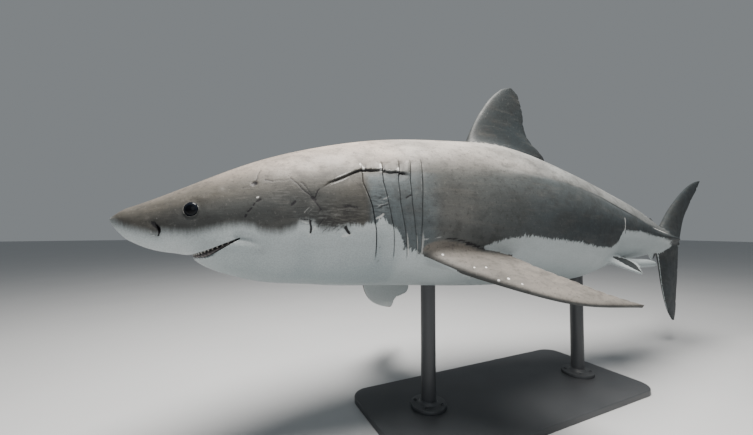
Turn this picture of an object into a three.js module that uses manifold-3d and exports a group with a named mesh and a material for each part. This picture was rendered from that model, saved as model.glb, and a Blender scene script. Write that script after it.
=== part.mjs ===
// A life-size great white shark, a still display model held over a flat base by two short rods.
// Millimetres, +Z up. The snout points to -X, the tail to +X, and the shark's left side faces -Y.
// The origin is the centre of the underside of the base.
import * as THREE from "three";
import Module from "manifold-3d";

const wasm = await Module();
wasm.setup();

// ---------------------------------------------------------------- driving dimensions, mm
const BODY_LENGTH = 4000; // along the line of the back, snout to the level of the upper tail tip
const PC = BODY_LENGTH / 100; // one per cent of that length, the unit of the shark's proportions
const GAP = 0.3; // between pieces that touch
const SNOUT = new THREE.Vector3(-1700, 25, 900); // tip of the snout over the base

const BASE = { length: 1500, width: 660, thick: 30, corner: 90 };
const ROD = { radius: 35, stations: [31, 56], sides: 24 };
const FLANGE = { radius: 85, thick: 18 };

// ---------------------------------------------------------------- small mathematics

const degrees = Math.PI / 180;
const clamp01 = (x) => Math.min(1, Math.max(0, x));
const smooth = (x) => clamp01(x) ** 2 * (3 - 2 * clamp01(x));
const roundOff = (x) => Math.sqrt(1 - (1 - clamp01(x)) ** 2);
const signedPower = (x, power) => Math.sign(x) * Math.abs(x) ** power;

// A smooth curve through given heights: the natural cubic spline.
function curveThrough(xs, ys) {
  const last = xs.length - 1;
  const bend = new Array(last + 1).fill(0);
  const sweep = new Array(last + 1).fill(0);
  for (let i = 1; i < last; i++) {
    const before = xs[i] - xs[i - 1];
    const after = xs[i + 1] - xs[i];
    const turn = 6 * ((ys[i + 1] - ys[i]) / after - (ys[i] - ys[i - 1]) / before);
    const pivot = 2 * (before + after) - before * sweep[i - 1];
    sweep[i] = after / pivot;
    bend[i] = (turn - before * bend[i - 1]) / pivot;
  }
  for (let i = last - 1; i > 0; i--) bend[i] -= sweep[i] * bend[i + 1];
  return (x) => {
    let k = 0;
    while (k < last - 1 && x > xs[k + 1]) k++;
    const step = xs[k + 1] - xs[k];
    const a = xs[k + 1] - x;
    const b = x - xs[k];
    const cubic = (bend[k] * a ** 3 + bend[k + 1] * b ** 3) / (6 * step);
    const fromLeft = ys[k] / step - (bend[k] * step) / 6;
    const fromRight = ys[k + 1] / step - (bend[k + 1] * step) / 6;
    return cubic + fromLeft * a + fromRight * b;
  };
}

// Straight lines through given heights.
function linesThrough(xs, ys) {
  return (x) => {
    let k = 0;
    while (k < xs.length - 2 && x > xs[k + 1]) k++;
    const t = clamp01((x - xs[k]) / (xs[k + 1] - xs[k]));
    return ys[k] + (ys[k + 1] - ys[k]) * t;
  };
}

// ---------------------------------------------------------------- the bent line of the back
// Stations run in per cent of the length from the snout. The body swings gently from side to side,
// and arches, so the tail hangs a little lower than the head.

const heading = curveThrough([0, 20, 35, 50, 65, 80, 100], [1.9, -0.2, -2.7, -4.2, 1.1, 6.1, 6.7]);
const climb = linesThrough([0, 50, 100], [3.3, -3.0, -9.1]);

function direction(s) {
  const turn = heading(s) * degrees;
  const rise = climb(s) * degrees;
  return new THREE.Vector3(
    Math.cos(turn) * Math.cos(rise),
    Math.sin(turn) * Math.cos(rise),
    Math.sin(rise),
  );
}

const STEP = 0.25;
const line = [SNOUT.clone()];
for (let i = 1; i * STEP <= 104; i++) {
  const middle = direction((i - 0.5) * STEP);
  line.push(line[i - 1].clone().addScaledVector(middle, STEP * PC));
}

// The place and the three directions of the body at station s: tailward, to its left, and up.
function frameAt(s) {
  const i = Math.min(line.length - 2, Math.max(0, Math.floor(s / STEP)));
  const tail = direction(s);
  const left = new THREE.Vector3(tail.y, -tail.x, 0).normalize();
  const up = left.clone().cross(tail);
  return { at: line[i].clone().lerp(line[i + 1], s / STEP - i), tail, left, up };
}

// A point given in per cents: s along, l to the left and u up, in the straight frame of one station.
function place(station, s, l, u) {
  const f = frameAt(station);
  return f.at
    .addScaledVector(f.tail, (s - station) * PC)
    .addScaledVector(f.left, l * PC)
    .addScaledVector(f.up, u * PC);
}

// ---------------------------------------------------------------- the sections of the body
// Height above and below the line of the back, and half the width, at fifteen stations.

const STATIONS = [0, 2.5, 6, 11, 17, 24, 32, 40, 48, 56, 63, 71, 79, 85, 91];
const crown = curveThrough(
  STATIONS,
  [0.55, 1.45, 2.95, 5.1, 6.95, 8.4, 9.2, 9.5, 8.3, 6.7, 5.3, 3.8, 2.1, 1.45, 0.35],
);
const keelLine = curveThrough(
  STATIONS,
  [1.15, 2.45, 3.35, 5.35, 7, 7.6, 8.15, 8.35, 8.1, 7.5, 5.45, 4.05, 2.65, 1.85, 0.35],
);
const halfWidth = curveThrough(
  STATIONS,
  [0.85, 2.15, 3.75, 5.4, 6.7, 7.6, 8, 7.8, 6.6, 5, 3.75, 2.6, 1.7, 1.2, 0.2],
);
const widestAt = linesThrough([0, 6, 15, 30, 50, 70, 91], [-0.3, -0.5, -0.3, 0.2, 0.3, 0.1, 0]);
const squareness = linesThrough([0, 10, 40, 60, 80], [2.1, 2.15, 2.15, 2, 2]);

const SNOUT_ROUND = 1.3; // the tip of the snout is rounded over this much of the length
const TAIL_END = 91; // where the tail stem runs out between the two lobes
const TAIL_ROUND = 1.2;
const CHIN = { start: 5.85, rise: 2.4, depth: 1, fadeFrom: 8, fadeOver: 9 };
const SIDE_KEEL = { at: 81.5, spread: 5.2, out: 1.75, halfAngle: 14 * degrees };

function chinDrop(s) {
  const front = roundOff((s - CHIN.start) / CHIN.rise);
  return CHIN.depth * front * (1 - smooth((s - CHIN.fadeFrom) / CHIN.fadeOver));
}

function sideKeel(s, angle) {
  const fromSide = Math.min(angle, Math.abs(angle - Math.PI), 2 * Math.PI - angle);
  const along = Math.exp(-(((s - SIDE_KEEL.at) / SIDE_KEEL.spread) ** 2));
  return SIDE_KEEL.out * along * Math.exp(-((fromSide / SIDE_KEEL.halfAngle) ** 2));
}

// A point of the skin: angle 0 is the left side, a quarter turn the back, three quarters the belly.
function skinOffset(s, angle) {
  const ends = roundOff(s / SNOUT_ROUND) * roundOff((TAIL_END - s) / TAIL_ROUND);
  const power = 2 / squareness(s);
  const c = Math.cos(angle);
  const h = Math.sin(angle);
  const middle = widestAt(s);
  const reach = h >= 0 ? crown(s) - middle : middle + keelLine(s) + chinDrop(s);
  const l = halfWidth(s) * signedPower(c, power) + Math.sign(c) * sideKeel(s, angle);
  const u = middle + reach * signedPower(h, power);
  return { l: l * ends, u: (u - middle) * ends + middle };
}

function skinPoint(s, angle, outward = 0) {
  const f = frameAt(s);
  const { l, u } = skinOffset(s, angle);
  return f.at
    .addScaledVector(f.left, l * PC + outward * Math.cos(angle))
    .addScaledVector(f.up, u * PC + outward * Math.sin(angle));
}

// ---------------------------------------------------------------- solids

// A closed solid through loops of points, ended by a point at each end.
function loft(start, loops, end) {
  const points = [start, ...loops.flat(), end];
  const around = loops[0].length;
  const faces = [];
  const at = (loop, i) => 1 + loop * around + (i % around);
  for (let i = 0; i < around; i++) {
    faces.push([0, at(0, i + 1), at(0, i)]);
    faces.push([points.length - 1, at(loops.length - 1, i), at(loops.length - 1, i + 1)]);
    for (let k = 0; k < loops.length - 1; k++) {
      faces.push([at(k, i), at(k, i + 1), at(k + 1, i + 1)]);
      faces.push([at(k, i), at(k + 1, i + 1), at(k + 1, i)]);
    }
  }
  return solid(points.flatMap((p) => [p.x, p.y, p.z]), faces.flat());
}

function solid(vertProperties, triVerts) {
  const mesh = new wasm.Mesh({
    numProp: 3,
    vertProperties: Float32Array.from(vertProperties),
    triVerts: Uint32Array.from(triVerts),
  });
  const made = new wasm.Manifold(mesh);
  if (made.volume() > 0) return made;
  const turned = [];
  for (let i = 0; i < triVerts.length; i += 3) {
    turned.push(triVerts[i], triVerts[i + 2], triVerts[i + 1]);
  }
  return solid(vertProperties, turned);
}

function middleOf(loop) {
  const sum = loop.reduce((total, p) => total.add(p), new THREE.Vector3());
  return sum.divideScalar(loop.length);
}

// A ready-made shape as a solid, with its doubled corner points joined.
function solidFrom(geometry) {
  const position = geometry.attributes.position;
  const seen = new Map();
  const points = [];
  const corner = [];
  for (let i = 0; i < position.count; i++) {
    const p = [position.getX(i), position.getY(i), position.getZ(i)];
    const key = p.map((x) => x.toFixed(4)).join();
    if (!seen.has(key)) {
      seen.set(key, points.length / 3);
      points.push(...p);
    }
    corner.push(seen.get(key));
  }
  const index = geometry.index ? Array.from(geometry.index.array) : corner.map((_, i) => i);
  const faces = [];
  for (let i = 0; i < index.length; i += 3) {
    const face = [0, 1, 2].map((k) => corner[index[i + k]]);
    if (new Set(face).size === 3) faces.push(...face);
  }
  return solid(points, faces);
}

// Keeps the side of a plane that its normal points to.
function keepBeyond(piece, point, normal) {
  return piece.trimByPlane([normal.x, normal.y, normal.z], point.dot(normal));
}

// The part of the body between two stations, with half a gap taken from each end.
function lengthOf(piece, from, to) {
  let kept = piece;
  if (from !== null) {
    const f = frameAt(from);
    kept = keepBeyond(kept, f.at.addScaledVector(f.tail, GAP / 2), f.tail);
  }
  if (to !== null) {
    const f = frameAt(to);
    kept = keepBeyond(kept, f.at.addScaledVector(f.tail, -GAP / 2), f.tail.clone().negate());
  }
  return kept;
}

// ---------------------------------------------------------------- the whole body

const AROUND = 32;
const NOSE_LOOPS = [0.04, 0.2, 0.55, 1.2, 2.4, 3.8, 5.2, 5.85, 6.2, 7, 8.3];
const BODY_LOOPS = 27; // evenly spaced ones behind the jaw
const END_LOOPS = [86.3, 88.3, 89.8, 90.7];
const EVEN = { from: 10.3, to: 84 };

function bodySolid(outward = 0) {
  const even = (_, i) => EVEN.from + ((EVEN.to - EVEN.from) * i) / (BODY_LOOPS - 1);
  const stations = [...NOSE_LOOPS, ...Array.from({ length: BODY_LOOPS }, even), ...END_LOOPS];
  const loops = stations.map((s) =>
    Array.from({ length: AROUND }, (_, i) => skinPoint(s, (2 * Math.PI * i) / AROUND, outward)),
  );
  const endPoint = (s, further) =>
    place(s, s, 0, widestAt(s)).addScaledVector(frameAt(s).tail, further);
  return loft(endPoint(0, -outward), loops, endPoint(TAIL_END, outward));
}

const body = bodySolid();
const sleeve = bodySolid(GAP * 1.2); // the body a hair larger, to cut what stands on it

// ---------------------------------------------------------------- fins
// A fin is a blade: its front and rear edges are curves from root to tip, and each slice across it
// is a thin wing section. Edges are given in the frame of one station, as s and reach out of it.

// Half the thickness of a wing at a share c of the way back, where its thickest is about 1.
const wingSection = (c) =>
  10 * (0.2969 * Math.sqrt(c) - 0.126 * c - 0.3516 * c ** 2 + 0.2843 * c ** 3 - 0.1036 * c ** 4);

const CHORD = [0.04, 0.22, 0.5, 0.8];
const REACH = [0, 0.12, 0.26, 0.42, 0.58, 0.74, 0.87, 0.96, 1];
const EDGE = 1.2; // half the thickness of a rear edge, mm

// The loop round one slice: along one face to the rear edge, and back along the other face.
function slice(spot, half) {
  const face = (c, side) => spot(c, side * (EDGE + half * PC * wingSection(c)));
  return [
    spot(0, 0),
    ...CHORD.map((c) => face(c, 1)),
    spot(1, EDGE),
    spot(1, -EDGE),
    ...CHORD.toReversed().map((c) => face(c, -1)),
  ];
}

function bladeFin(fin, side = 1) {
  const front = { s: curveThrough(fin.t, fin.frontS), out: curveThrough(fin.t, fin.frontOut) };
  const rear = { s: curveThrough(fin.t, fin.rearS), out: curveThrough(fin.t, fin.rearOut) };
  const half = linesThrough([0, 1], fin.half);
  const lean = fin.lean * degrees;
  const loops = REACH.map((t) => {
    const spot = (c, h) => {
      const s = front.s(t) + (rear.s(t) - front.s(t)) * c;
      const out = front.out(t) + (rear.out(t) - front.out(t)) * c;
      const l = fin.rootL + Math.cos(lean) * out - (Math.sin(lean) * h) / PC;
      const u = fin.rootU + Math.sin(lean) * out + (Math.cos(lean) * h) / PC;
      return place(fin.station, s, side * l, u);
    };
    return slice(spot, half(t));
  });
  return loft(middleOf(loops[0]), loops, middleOf(loops.at(-1)));
}

const UPRIGHT = 90; // lean of a fin that stands straight up from the back
const HANGING = -90;

const FIRST_DORSAL = {
  station: 43,
  t: [0, 0.12, 0.3, 0.55, 0.8, 0.93, 1],
  frontS: [35.6, 37.0, 38.4, 40.0, 41.4, 42.3, 43.1],
  frontOut: [7.6, 11.2, 13.9, 16.1, 17.4, 17.95, 18.15],
  rearS: [48.2, 49.8, 47.1, 45.7, 44.95, 44.5, 43.9],
  rearOut: [6.6, 8.6, 11.2, 14.6, 16.9, 17.7, 18.05],
  half: [0.85, 0.22],
  lean: UPRIGHT,
  rootL: 0,
  rootU: 0,
};

const SECOND_DORSAL = {
  station: 75,
  t: [0, 0.55, 1],
  frontS: [73.6, 75.2, 76.7],
  frontOut: [1.4, 2.75, 3.25],
  rearS: [76.8, 78.5, 77.4],
  rearOut: [1.2, 2.35, 3.1],
  half: [0.3, 0.08],
  lean: UPRIGHT,
  rootL: 0,
  rootU: 0,
};

const ANAL = {
  station: 77,
  t: [0, 0.55, 1],
  frontS: [75.2, 76.5, 77.7],
  frontOut: [1.4, 3.1, 4.0],
  rearS: [77.8, 79.4, 78.3],
  rearOut: [1.3, 2.8, 3.9],
  half: [0.3, 0.08],
  lean: HANGING,
  rootL: 0,
  rootU: 0,
};

const UPPER_LOBE = {
  station: 84,
  t: [0, 0.2, 0.45, 0.7, 0.88, 1],
  frontS: [78.6, 83.2, 87.2, 92.9, 97.9, 101.0],
  frontOut: [-0.8, 4.1, 7.6, 11.4, 13.8, 14.8],
  rearS: [90.9, 92.0, 94.3, 97.4, 99.7, 101.3],
  rearOut: [-0.8, 4.3, 7.4, 10.6, 12.6, 14.5],
  half: [0.8, 0.14],
  lean: UPRIGHT,
  rootL: 0,
  rootU: 0,
};

const LOWER_LOBE = {
  station: 84,
  t: [0, 0.2, 0.45, 0.7, 0.88, 1],
  frontS: [78.6, 81.1, 82.4, 84.1, 86.0, 87.9],
  frontOut: [-1.2, 4.4, 7.9, 11.1, 13.3, 14.6],
  rearS: [91.0, 90.1, 89.7, 89.3, 89.15, 88.6],
  rearOut: [-1.2, 2.8, 6.6, 10.4, 13.0, 14.5],
  half: [0.8, 0.14],
  lean: HANGING,
  rootL: 0,
  rootU: 0,
};
const FORK = 0.3; // height where the two lobes meet behind the tail stem

const PELVIC = {
  station: 60,
  t: [0, 0.35, 0.7, 1],
  frontS: [55.6, 58.0, 60.6, 62.7],
  frontOut: [-1.3, 0.3, 1.6, 2.4],
  rearS: [60.8, 64.3, 64.0, 63.1],
  rearOut: [-1.3, 0.1, 1.3, 2.35],
  half: [0.5, 0.1],
  lean: -42,
  rootL: 3.5,
  rootU: -4.75,
};

// The long pectoral fins droop along a bent line, twist, and sweep back from the shoulder.
const PECTORAL = {
  station: 29,
  rootS: 26.2,
  rootL: 6.5,
  rootU: -3.95,
  span: 15.2,
  hinge: 2.0, // the twist turns about a line this far behind the front of the root
  frontT: [0, 0.15, 0.4, 0.65, 0.85, 1],
  front: [0, 1.0, 3.3, 5.9, 9.3, 13.8],
  rearT: [0, 0.13, 0.4, 0.65, 0.85, 1],
  rear: [6.8, 9.4, 10.0, 10.9, 12.3, 14.1],
  half: [0.78, 0.14],
  inside: 0.25, // the blade is carried this much of its span into the body
};
// sweep, then droop and twist as a start, a change and a curl along the fin, in degrees
const LEFT_SET = { sweep: 18.3, droop: [20.3, 25.5, -19.6], twist: [1.4, 34.5, -23.2] };
const RIGHT_SET = { sweep: -24.5, droop: [28, 18, 30], twist: [-45, -25, 60] };

function pectoralFin(set, side) {
  const fin = PECTORAL;
  const front = curveThrough(fin.frontT, fin.front);
  const rear = curveThrough(fin.rearT, fin.rear);
  const half = linesThrough([0, 1], fin.half);
  const series = (t, [a, b, c]) => (a + b * t + c * t * t) * degrees;
  const sweep = set.sweep * degrees;
  const fold = 60;
  const run = [new THREE.Vector2()];
  for (let i = 0; i < fold; i++) {
    const droop = series((i + 0.5) / fold, set.droop);
    const step = new THREE.Vector2(Math.cos(droop), -Math.sin(droop)).multiplyScalar(fin.span / fold);
    run.push(run[i].clone().add(step));
  }
  const spine = (t) => {
    if (t < 0) return run[1].clone().multiplyScalar(t * fold);
    const i = Math.min(fold - 1, Math.floor(t * fold));
    return run[i].clone().lerp(run[i + 1], t * fold - i);
  };
  const reaches = [-fin.inside, ...REACH];
  const loops = reaches.map((reach) => {
    const t = Math.max(0, reach);
    const droop = series(t, set.droop);
    const twist = series(t, set.twist);
    const spot = (c, h) => {
      const back = front(t) + (rear(t) - front(t)) * c - fin.hinge;
      const high = back * Math.sin(twist) + (h / PC) * Math.cos(twist);
      const along = fin.hinge + back * Math.cos(twist) - (h / PC) * Math.sin(twist);
      const middle = spine(reach);
      const out = middle.x + high * Math.sin(droop);
      const s = fin.rootS + along * Math.cos(sweep) + out * Math.sin(sweep);
      const l = fin.rootL - along * Math.sin(sweep) + out * Math.cos(sweep);
      return place(fin.station, s, side * l, fin.rootU + middle.y + high * Math.cos(droop));
    };
    return slice(spot, half(t));
  });
  return loft(middleOf(loops[0]), loops, middleOf(loops.at(-1)));
}

// ---------------------------------------------------------------- claspers, the grown male's
const CLASPER = {
  station: 66,
  along: [0, 0.3, 0.6, 0.85, 1],
  s: [60.4, 64.6, 68.2, 70.6, 71.9],
  l: [1.7, 2.8, 3.0, 3.0, 2.95],
  u: [-4.6, -4.95, -4.85, -4.85, -4.95],
  radius: [0.7, 0.66, 0.62, 0.42, 0.12],
  loops: [0, 0.2, 0.4, 0.6, 0.78, 0.9, 1],
  sides: 10,
};

function clasper(side) {
  const s = curveThrough(CLASPER.along, CLASPER.s);
  const l = curveThrough(CLASPER.along, CLASPER.l);
  const u = curveThrough(CLASPER.along, CLASPER.u);
  const radius = curveThrough(CLASPER.along, CLASPER.radius);
  const loops = CLASPER.loops.map((t) =>
    Array.from({ length: CLASPER.sides }, (_, i) => {
      const a = (2 * Math.PI * i) / CLASPER.sides;
      const out = l(t) + radius(t) * Math.cos(a);
      return place(CLASPER.station, s(t), side * out, u(t) + radius(t) * Math.sin(a));
    }),
  );
  return loft(middleOf(loops[0]), loops, middleOf(loops.at(-1)));
}

// ---------------------------------------------------------------- eyes, mouth and gill slits

const EYE = { s: 6.0, u: 0.58, radius: 24, flat: 13, sunk: 6 };

function eyeball(side, extra = 0) {
  const sphere = new THREE.SphereGeometry(1, 16, 9);
  const surface = eyeSpot(side);
  const f = frameAt(EYE.s);
  const across = surface.clone().sub(skinPoint(EYE.s - 0.4, surface.angle)).normalize();
  const out = f.left.clone().multiplyScalar(side);
  const normal = out.addScaledVector(across, -out.dot(across)).normalize();
  const up = normal.clone().cross(across);
  const turned = new THREE.Matrix4().makeBasis(across, up, normal);
  turned.setPosition(surface.clone().addScaledVector(normal, -EYE.sunk));
  const wide = EYE.radius + extra;
  sphere.scale(wide, wide, EYE.flat + extra).applyMatrix4(turned);
  return solidFrom(sphere);
}

// The spot on the skin at the eye's height, found by halving the angle.
function eyeSpot(side) {
  let low = 0;
  let high = Math.PI / 2;
  for (let i = 0; i < 30; i++) {
    const angle = (low + high) / 2;
    if (skinOffset(EYE.s, angle).u < EYE.u) low = angle;
    else high = angle;
  }
  const angle = side > 0 ? low : Math.PI - low;
  const point = skinPoint(EYE.s, angle);
  point.angle = angle;
  return point;
}

// The mouth is a flat cut that climbs from under the snout to its corners.
const MOUTH = {
  frontS: 5.75,
  frontU: -3.35,
  cornerS: 9.6,
  cornerU: -1.85,
  open: 5, // between the lips, mm
  backS: 13.2,
  backU: -7,
};

function planeThrough(s0, u0, s1, u1) {
  const station = (s0 + s1) / 2;
  const a = place(station, s0, 0, u0);
  const b = place(station, s1, 0, u1);
  const normal = b.clone().sub(a).cross(frameAt(station).left).normalize();
  if (normal.z < 0) normal.negate();
  return { point: a, normal };
}

const mouthPlane = planeThrough(MOUTH.frontS, MOUTH.frontU, MOUTH.cornerS, MOUTH.cornerU);
const hingePlane = planeThrough(MOUTH.cornerS, MOUTH.cornerU, MOUTH.backS, MOUTH.backU);

// What lies under the mouth cut and in front of the slanted cut behind the jaw's corners.
function underMouth(piece, belowLips, aheadOfHinge) {
  const drop = mouthPlane.normal.clone().negate();
  const under = keepBeyond(piece, mouthPlane.point.clone().addScaledVector(drop, belowLips), drop);
  const forward = hingePlane.normal.clone().negate();
  return keepBeyond(under, hingePlane.point.clone().addScaledVector(forward, aheadOfHinge), forward);
}

// Five slits on each side, from just under the widest line of the back to above the pectoral fin.
const SLITS = {
  s: [20.6, 22.3, 23.7, 24.9, 25.9],
  topAngle: 35 * degrees,
  bottomAngle: -30 * degrees,
  bow: [0.6, 0.7, 0.6, 0.1, -0.3],
  lean: [0.9, 0.8, 0.6, 0.4, 0],
  width: 5,
  deep: 14,
  clear: 8, // how far the cutting wedge stands out of the skin
};

function gillSlit(index, side) {
  const steps = 5;
  const loops = Array.from({ length: steps }, (_, i) => {
    const t = i / (steps - 1);
    const angle = SLITS.bottomAngle + (SLITS.topAngle - SLITS.bottomAngle) * t;
    const lean = SLITS.lean[index] * (0.5 - t);
    const s = SLITS.s[index] + lean + SLITS.bow[index] * (4 * (t - 0.5) ** 2 - 0.5);
    const around = side > 0 ? (angle + 2 * Math.PI) % (2 * Math.PI) : Math.PI - angle;
    const half = SLITS.width / 2 / PC;
    return [
      skinPoint(s - half, around, -SLITS.deep),
      skinPoint(s + half, around, -SLITS.deep),
      skinPoint(s + half, around, SLITS.clear),
      skinPoint(s - half, around, SLITS.clear),
    ];
  });
  return loft(middleOf(loops[0]), loops, middleOf(loops.at(-1)));
}

// ---------------------------------------------------------------- parting the body

const PARTING = { gills: 19.2, trunk: 27.1, tail: 68 };

const sockets = eyeball(1, GAP).add(eyeball(-1, GAP));
const front = lengthOf(body, null, PARTING.gills);
const lowerJaw = underMouth(front, 0, GAP / 2);
const roomy = new THREE.BoxGeometry(30 * PC, 20 * PC, 20 * PC).translate(...SNOUT.toArray());
const jawRoom = underMouth(solidFrom(roomy), -MOUTH.open, -GAP / 2);
const head = front.subtract(jawRoom).subtract(sockets);

let gillRegion = lengthOf(body, PARTING.gills, PARTING.trunk);
for (let i = 0; i < SLITS.s.length; i++) {
  gillRegion = gillRegion.subtract(gillSlit(i, 1)).subtract(gillSlit(i, -1));
}
const trunk = lengthOf(body, PARTING.trunk, PARTING.tail);
const tailStem = lengthOf(body, PARTING.tail, null);

const fork = place(86, 86, 0, FORK);
const forkUp = frameAt(86).up;
const forkDown = forkUp.clone().negate();
const lobe = (fin, side) =>
  keepBeyond(bladeFin(fin), fork.clone().addScaledVector(side, GAP / 2), side);
const upperLobe = lobe(UPPER_LOBE, forkUp);
const lowerLobe = lobe(LOWER_LOBE, forkDown);

// What is left of a piece outside the body, without the crumbs a cut leaves.
function onBody(piece) {
  const left = piece.subtract(sleeve).decompose();
  return left.reduce((a, b) => (b.volume() > a.volume() ? b : a));
}

// ---------------------------------------------------------------- the stand

function baseSolid() {
  const { length, width, thick, corner } = BASE;
  const x = length / 2 - corner;
  const y = width / 2 - corner;
  const outline = new THREE.Shape();
  outline.absarc(x, y, corner, 0, Math.PI / 2);
  outline.absarc(-x, y, corner, Math.PI / 2, Math.PI);
  outline.absarc(-x, -y, corner, Math.PI, 1.5 * Math.PI);
  outline.absarc(x, -y, corner, 1.5 * Math.PI, 2 * Math.PI);
  const plate = { depth: thick, bevelEnabled: false, curveSegments: 5 };
  return solidFrom(new THREE.ExtrudeGeometry(outline, plate));
}

function rodSolid(s) {
  const foot = BASE.thick + GAP;
  const centre = frameAt(s).at;
  const height = centre.z - foot;
  const rod = new THREE.CylinderGeometry(ROD.radius, ROD.radius, height, ROD.sides);
  rod.rotateX(Math.PI / 2).translate(centre.x, centre.y, foot + height / 2);
  return solidFrom(rod).subtract(sleeve);
}

function flangeSolid(s) {
  const { radius, thick } = FLANGE;
  const bore = ROD.radius + GAP;
  const chamfer = 4;
  const profile = [
    new THREE.Vector2(bore, 0),
    new THREE.Vector2(radius, 0),
    new THREE.Vector2(radius, thick - chamfer),
    new THREE.Vector2(radius - chamfer, thick),
    new THREE.Vector2(bore, thick),
    new THREE.Vector2(bore, 0),
  ];
  const ring = new THREE.LatheGeometry(profile, 24);
  const centre = frameAt(s).at;
  ring.rotateX(Math.PI / 2).translate(centre.x, centre.y, BASE.thick + GAP);
  return solidFrom(ring);
}

// ---------------------------------------------------------------- meshes

function paint(color, roughness, metalness = 0) {
  return new THREE.MeshStandardMaterial({ color, roughness, metalness });
}

const GREY = "#77736c";
const BLUE_GREY = "#5d676b";
const WHITE = "#c9cfcd";
const BLACK = "#0a0b0d";
const CHARCOAL = "#3a3c3f";

const shark = new THREE.Group();
shark.name = "great_white_shark";

function addPiece(name, piece, material) {
  const mesh = piece.getMesh();
  const geometry = new THREE.BufferGeometry();
  geometry.setAttribute("position", new THREE.BufferAttribute(Float32Array.from(mesh.vertProperties), 3));
  geometry.setIndex(Array.from(mesh.triVerts));
  geometry.computeVertexNormals();
  const part = new THREE.Mesh(geometry, material);
  part.name = name;
  shark.add(part);
}

addPiece("head", head, paint(GREY, 0.5));
addPiece("lower_jaw", lowerJaw, paint(WHITE, 0.5));
addPiece("gill_region", gillRegion, paint(GREY, 0.5));
addPiece("trunk", trunk, paint(GREY, 0.5));
addPiece("tail_stem", tailStem, paint(BLUE_GREY, 0.5));
addPiece("caudal_fin_upper_lobe", onBody(upperLobe), paint(BLUE_GREY, 0.55));
addPiece("caudal_fin_lower_lobe", onBody(lowerLobe), paint(BLUE_GREY, 0.55));
addPiece("dorsal_fin_first", onBody(bladeFin(FIRST_DORSAL)), paint(GREY, 0.55));
addPiece("dorsal_fin_second", onBody(bladeFin(SECOND_DORSAL)), paint(BLUE_GREY, 0.55));
addPiece("anal_fin", onBody(bladeFin(ANAL)), paint(WHITE, 0.55));

for (const [name, side, set] of [["left", 1, LEFT_SET], ["right", -1, RIGHT_SET]]) {
  addPiece(`pectoral_fin_${name}`, onBody(pectoralFin(set, side)), paint(GREY, 0.55));
  addPiece(`pelvic_fin_${name}`, onBody(bladeFin(PELVIC, side)), paint(GREY, 0.55));
  addPiece(`clasper_${name}`, onBody(clasper(side)), paint(WHITE, 0.55));
  addPiece(`eye_${name}`, eyeball(side), paint(BLACK, 0.1));
}

addPiece("stand_base", baseSolid(), paint(CHARCOAL, 0.6, 0.4));
for (const [i, s] of ROD.stations.entries()) {
  const name = ["front", "rear"][i];
  addPiece(`stand_rod_${name}`, rodSolid(s), paint(CHARCOAL, 0.5, 0.4));
  addPiece(`stand_flange_${name}`, flangeSolid(s), paint(CHARCOAL, 0.5, 0.4));
}

export default shark;
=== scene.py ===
# %% [markdown]
# # A life-size great white shark on a display stand
# The shark is one unbroken skin over a gently bent line. We work out every surface with numpy, as a function
# of two parameters on a grid, and let Blender join the pieces. First we load the solid model, which fixes
# every place and size.

# %% Load the frame
import math

import bpy
import numpy as np
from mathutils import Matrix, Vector


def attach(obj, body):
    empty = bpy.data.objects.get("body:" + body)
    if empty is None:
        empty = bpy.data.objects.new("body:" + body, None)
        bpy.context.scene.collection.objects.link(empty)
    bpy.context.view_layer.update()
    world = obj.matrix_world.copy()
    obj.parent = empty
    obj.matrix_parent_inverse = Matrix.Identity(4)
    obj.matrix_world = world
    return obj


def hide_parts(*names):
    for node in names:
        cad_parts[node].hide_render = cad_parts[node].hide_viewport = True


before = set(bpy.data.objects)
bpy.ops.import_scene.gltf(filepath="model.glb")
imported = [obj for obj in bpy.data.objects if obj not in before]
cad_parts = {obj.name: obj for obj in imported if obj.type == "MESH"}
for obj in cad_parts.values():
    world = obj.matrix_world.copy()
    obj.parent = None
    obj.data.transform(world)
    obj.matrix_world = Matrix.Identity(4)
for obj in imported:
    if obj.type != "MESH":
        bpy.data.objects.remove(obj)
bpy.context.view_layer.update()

# %% [markdown]
# ## Curves through a few heights
# A body is described by a handful of heights along its length. A natural cubic spline runs smoothly
# through them: inside each span the curve is a cubic, and slope and bend agree where spans meet.

# %% Splines
PC = 0.04  # one per cent of the body's length, in metres


def curve_through(xs, ys):
    """Natural cubic spline: the bends at the knots solve one small set of linear equations."""
    xs, ys = np.asarray(xs, float), np.asarray(ys, float)
    n, h = len(xs), np.diff(xs)
    system, turn = np.eye(n), np.zeros(n)
    for i in range(1, n - 1):
        system[i, i - 1:i + 2] = h[i - 1], 2 * (h[i - 1] + h[i]), h[i]
        turn[i] = 6 * ((ys[i + 1] - ys[i]) / h[i] - (ys[i] - ys[i - 1]) / h[i - 1])
    bend = np.linalg.solve(system, turn)

    def curve(x):
        x = np.asarray(x, float)
        k = np.clip(np.searchsorted(xs, x, side="right") - 1, 0, n - 2)
        a, b, w = xs[k + 1] - x, x - xs[k], h[k]
        cubic = (bend[k] * a**3 + bend[k + 1] * b**3) / (6 * w)
        return cubic + (ys[k] / w - bend[k] * w / 6) * a + (ys[k + 1] / w - bend[k + 1] * w / 6) * b

    return curve


def lines_through(xs, ys):
    """Straight lines from knot to knot."""
    return lambda x: np.interp(x, xs, ys)


print("half way to a knot of height 1:", round(float(curve_through([0, 1, 2], [0, 1, 0])(0.5)), 3))

# %% [markdown]
# A few small functions do most of the shaping below: a step, a bell and a quarter circle. Adding and
# multiplying them gives a fold, a hollow or a rounded end, without a break anywhere.

# %% Small functions
def smooth(x):
    """0 below 0, 1 above 1, and an S-shaped cubic between."""
    x = np.clip(x, 0, 1)
    return x * x * (3 - 2 * x)


def hump(x, width):
    """A bell: 1 at 0, about a third at one width away."""
    return np.exp(-((x / width) ** 2))


def round_off(x):
    """A quarter circle rising from 0 to 1."""
    return np.sqrt(1 - (1 - np.clip(x, 0, 1)) ** 2)


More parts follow.
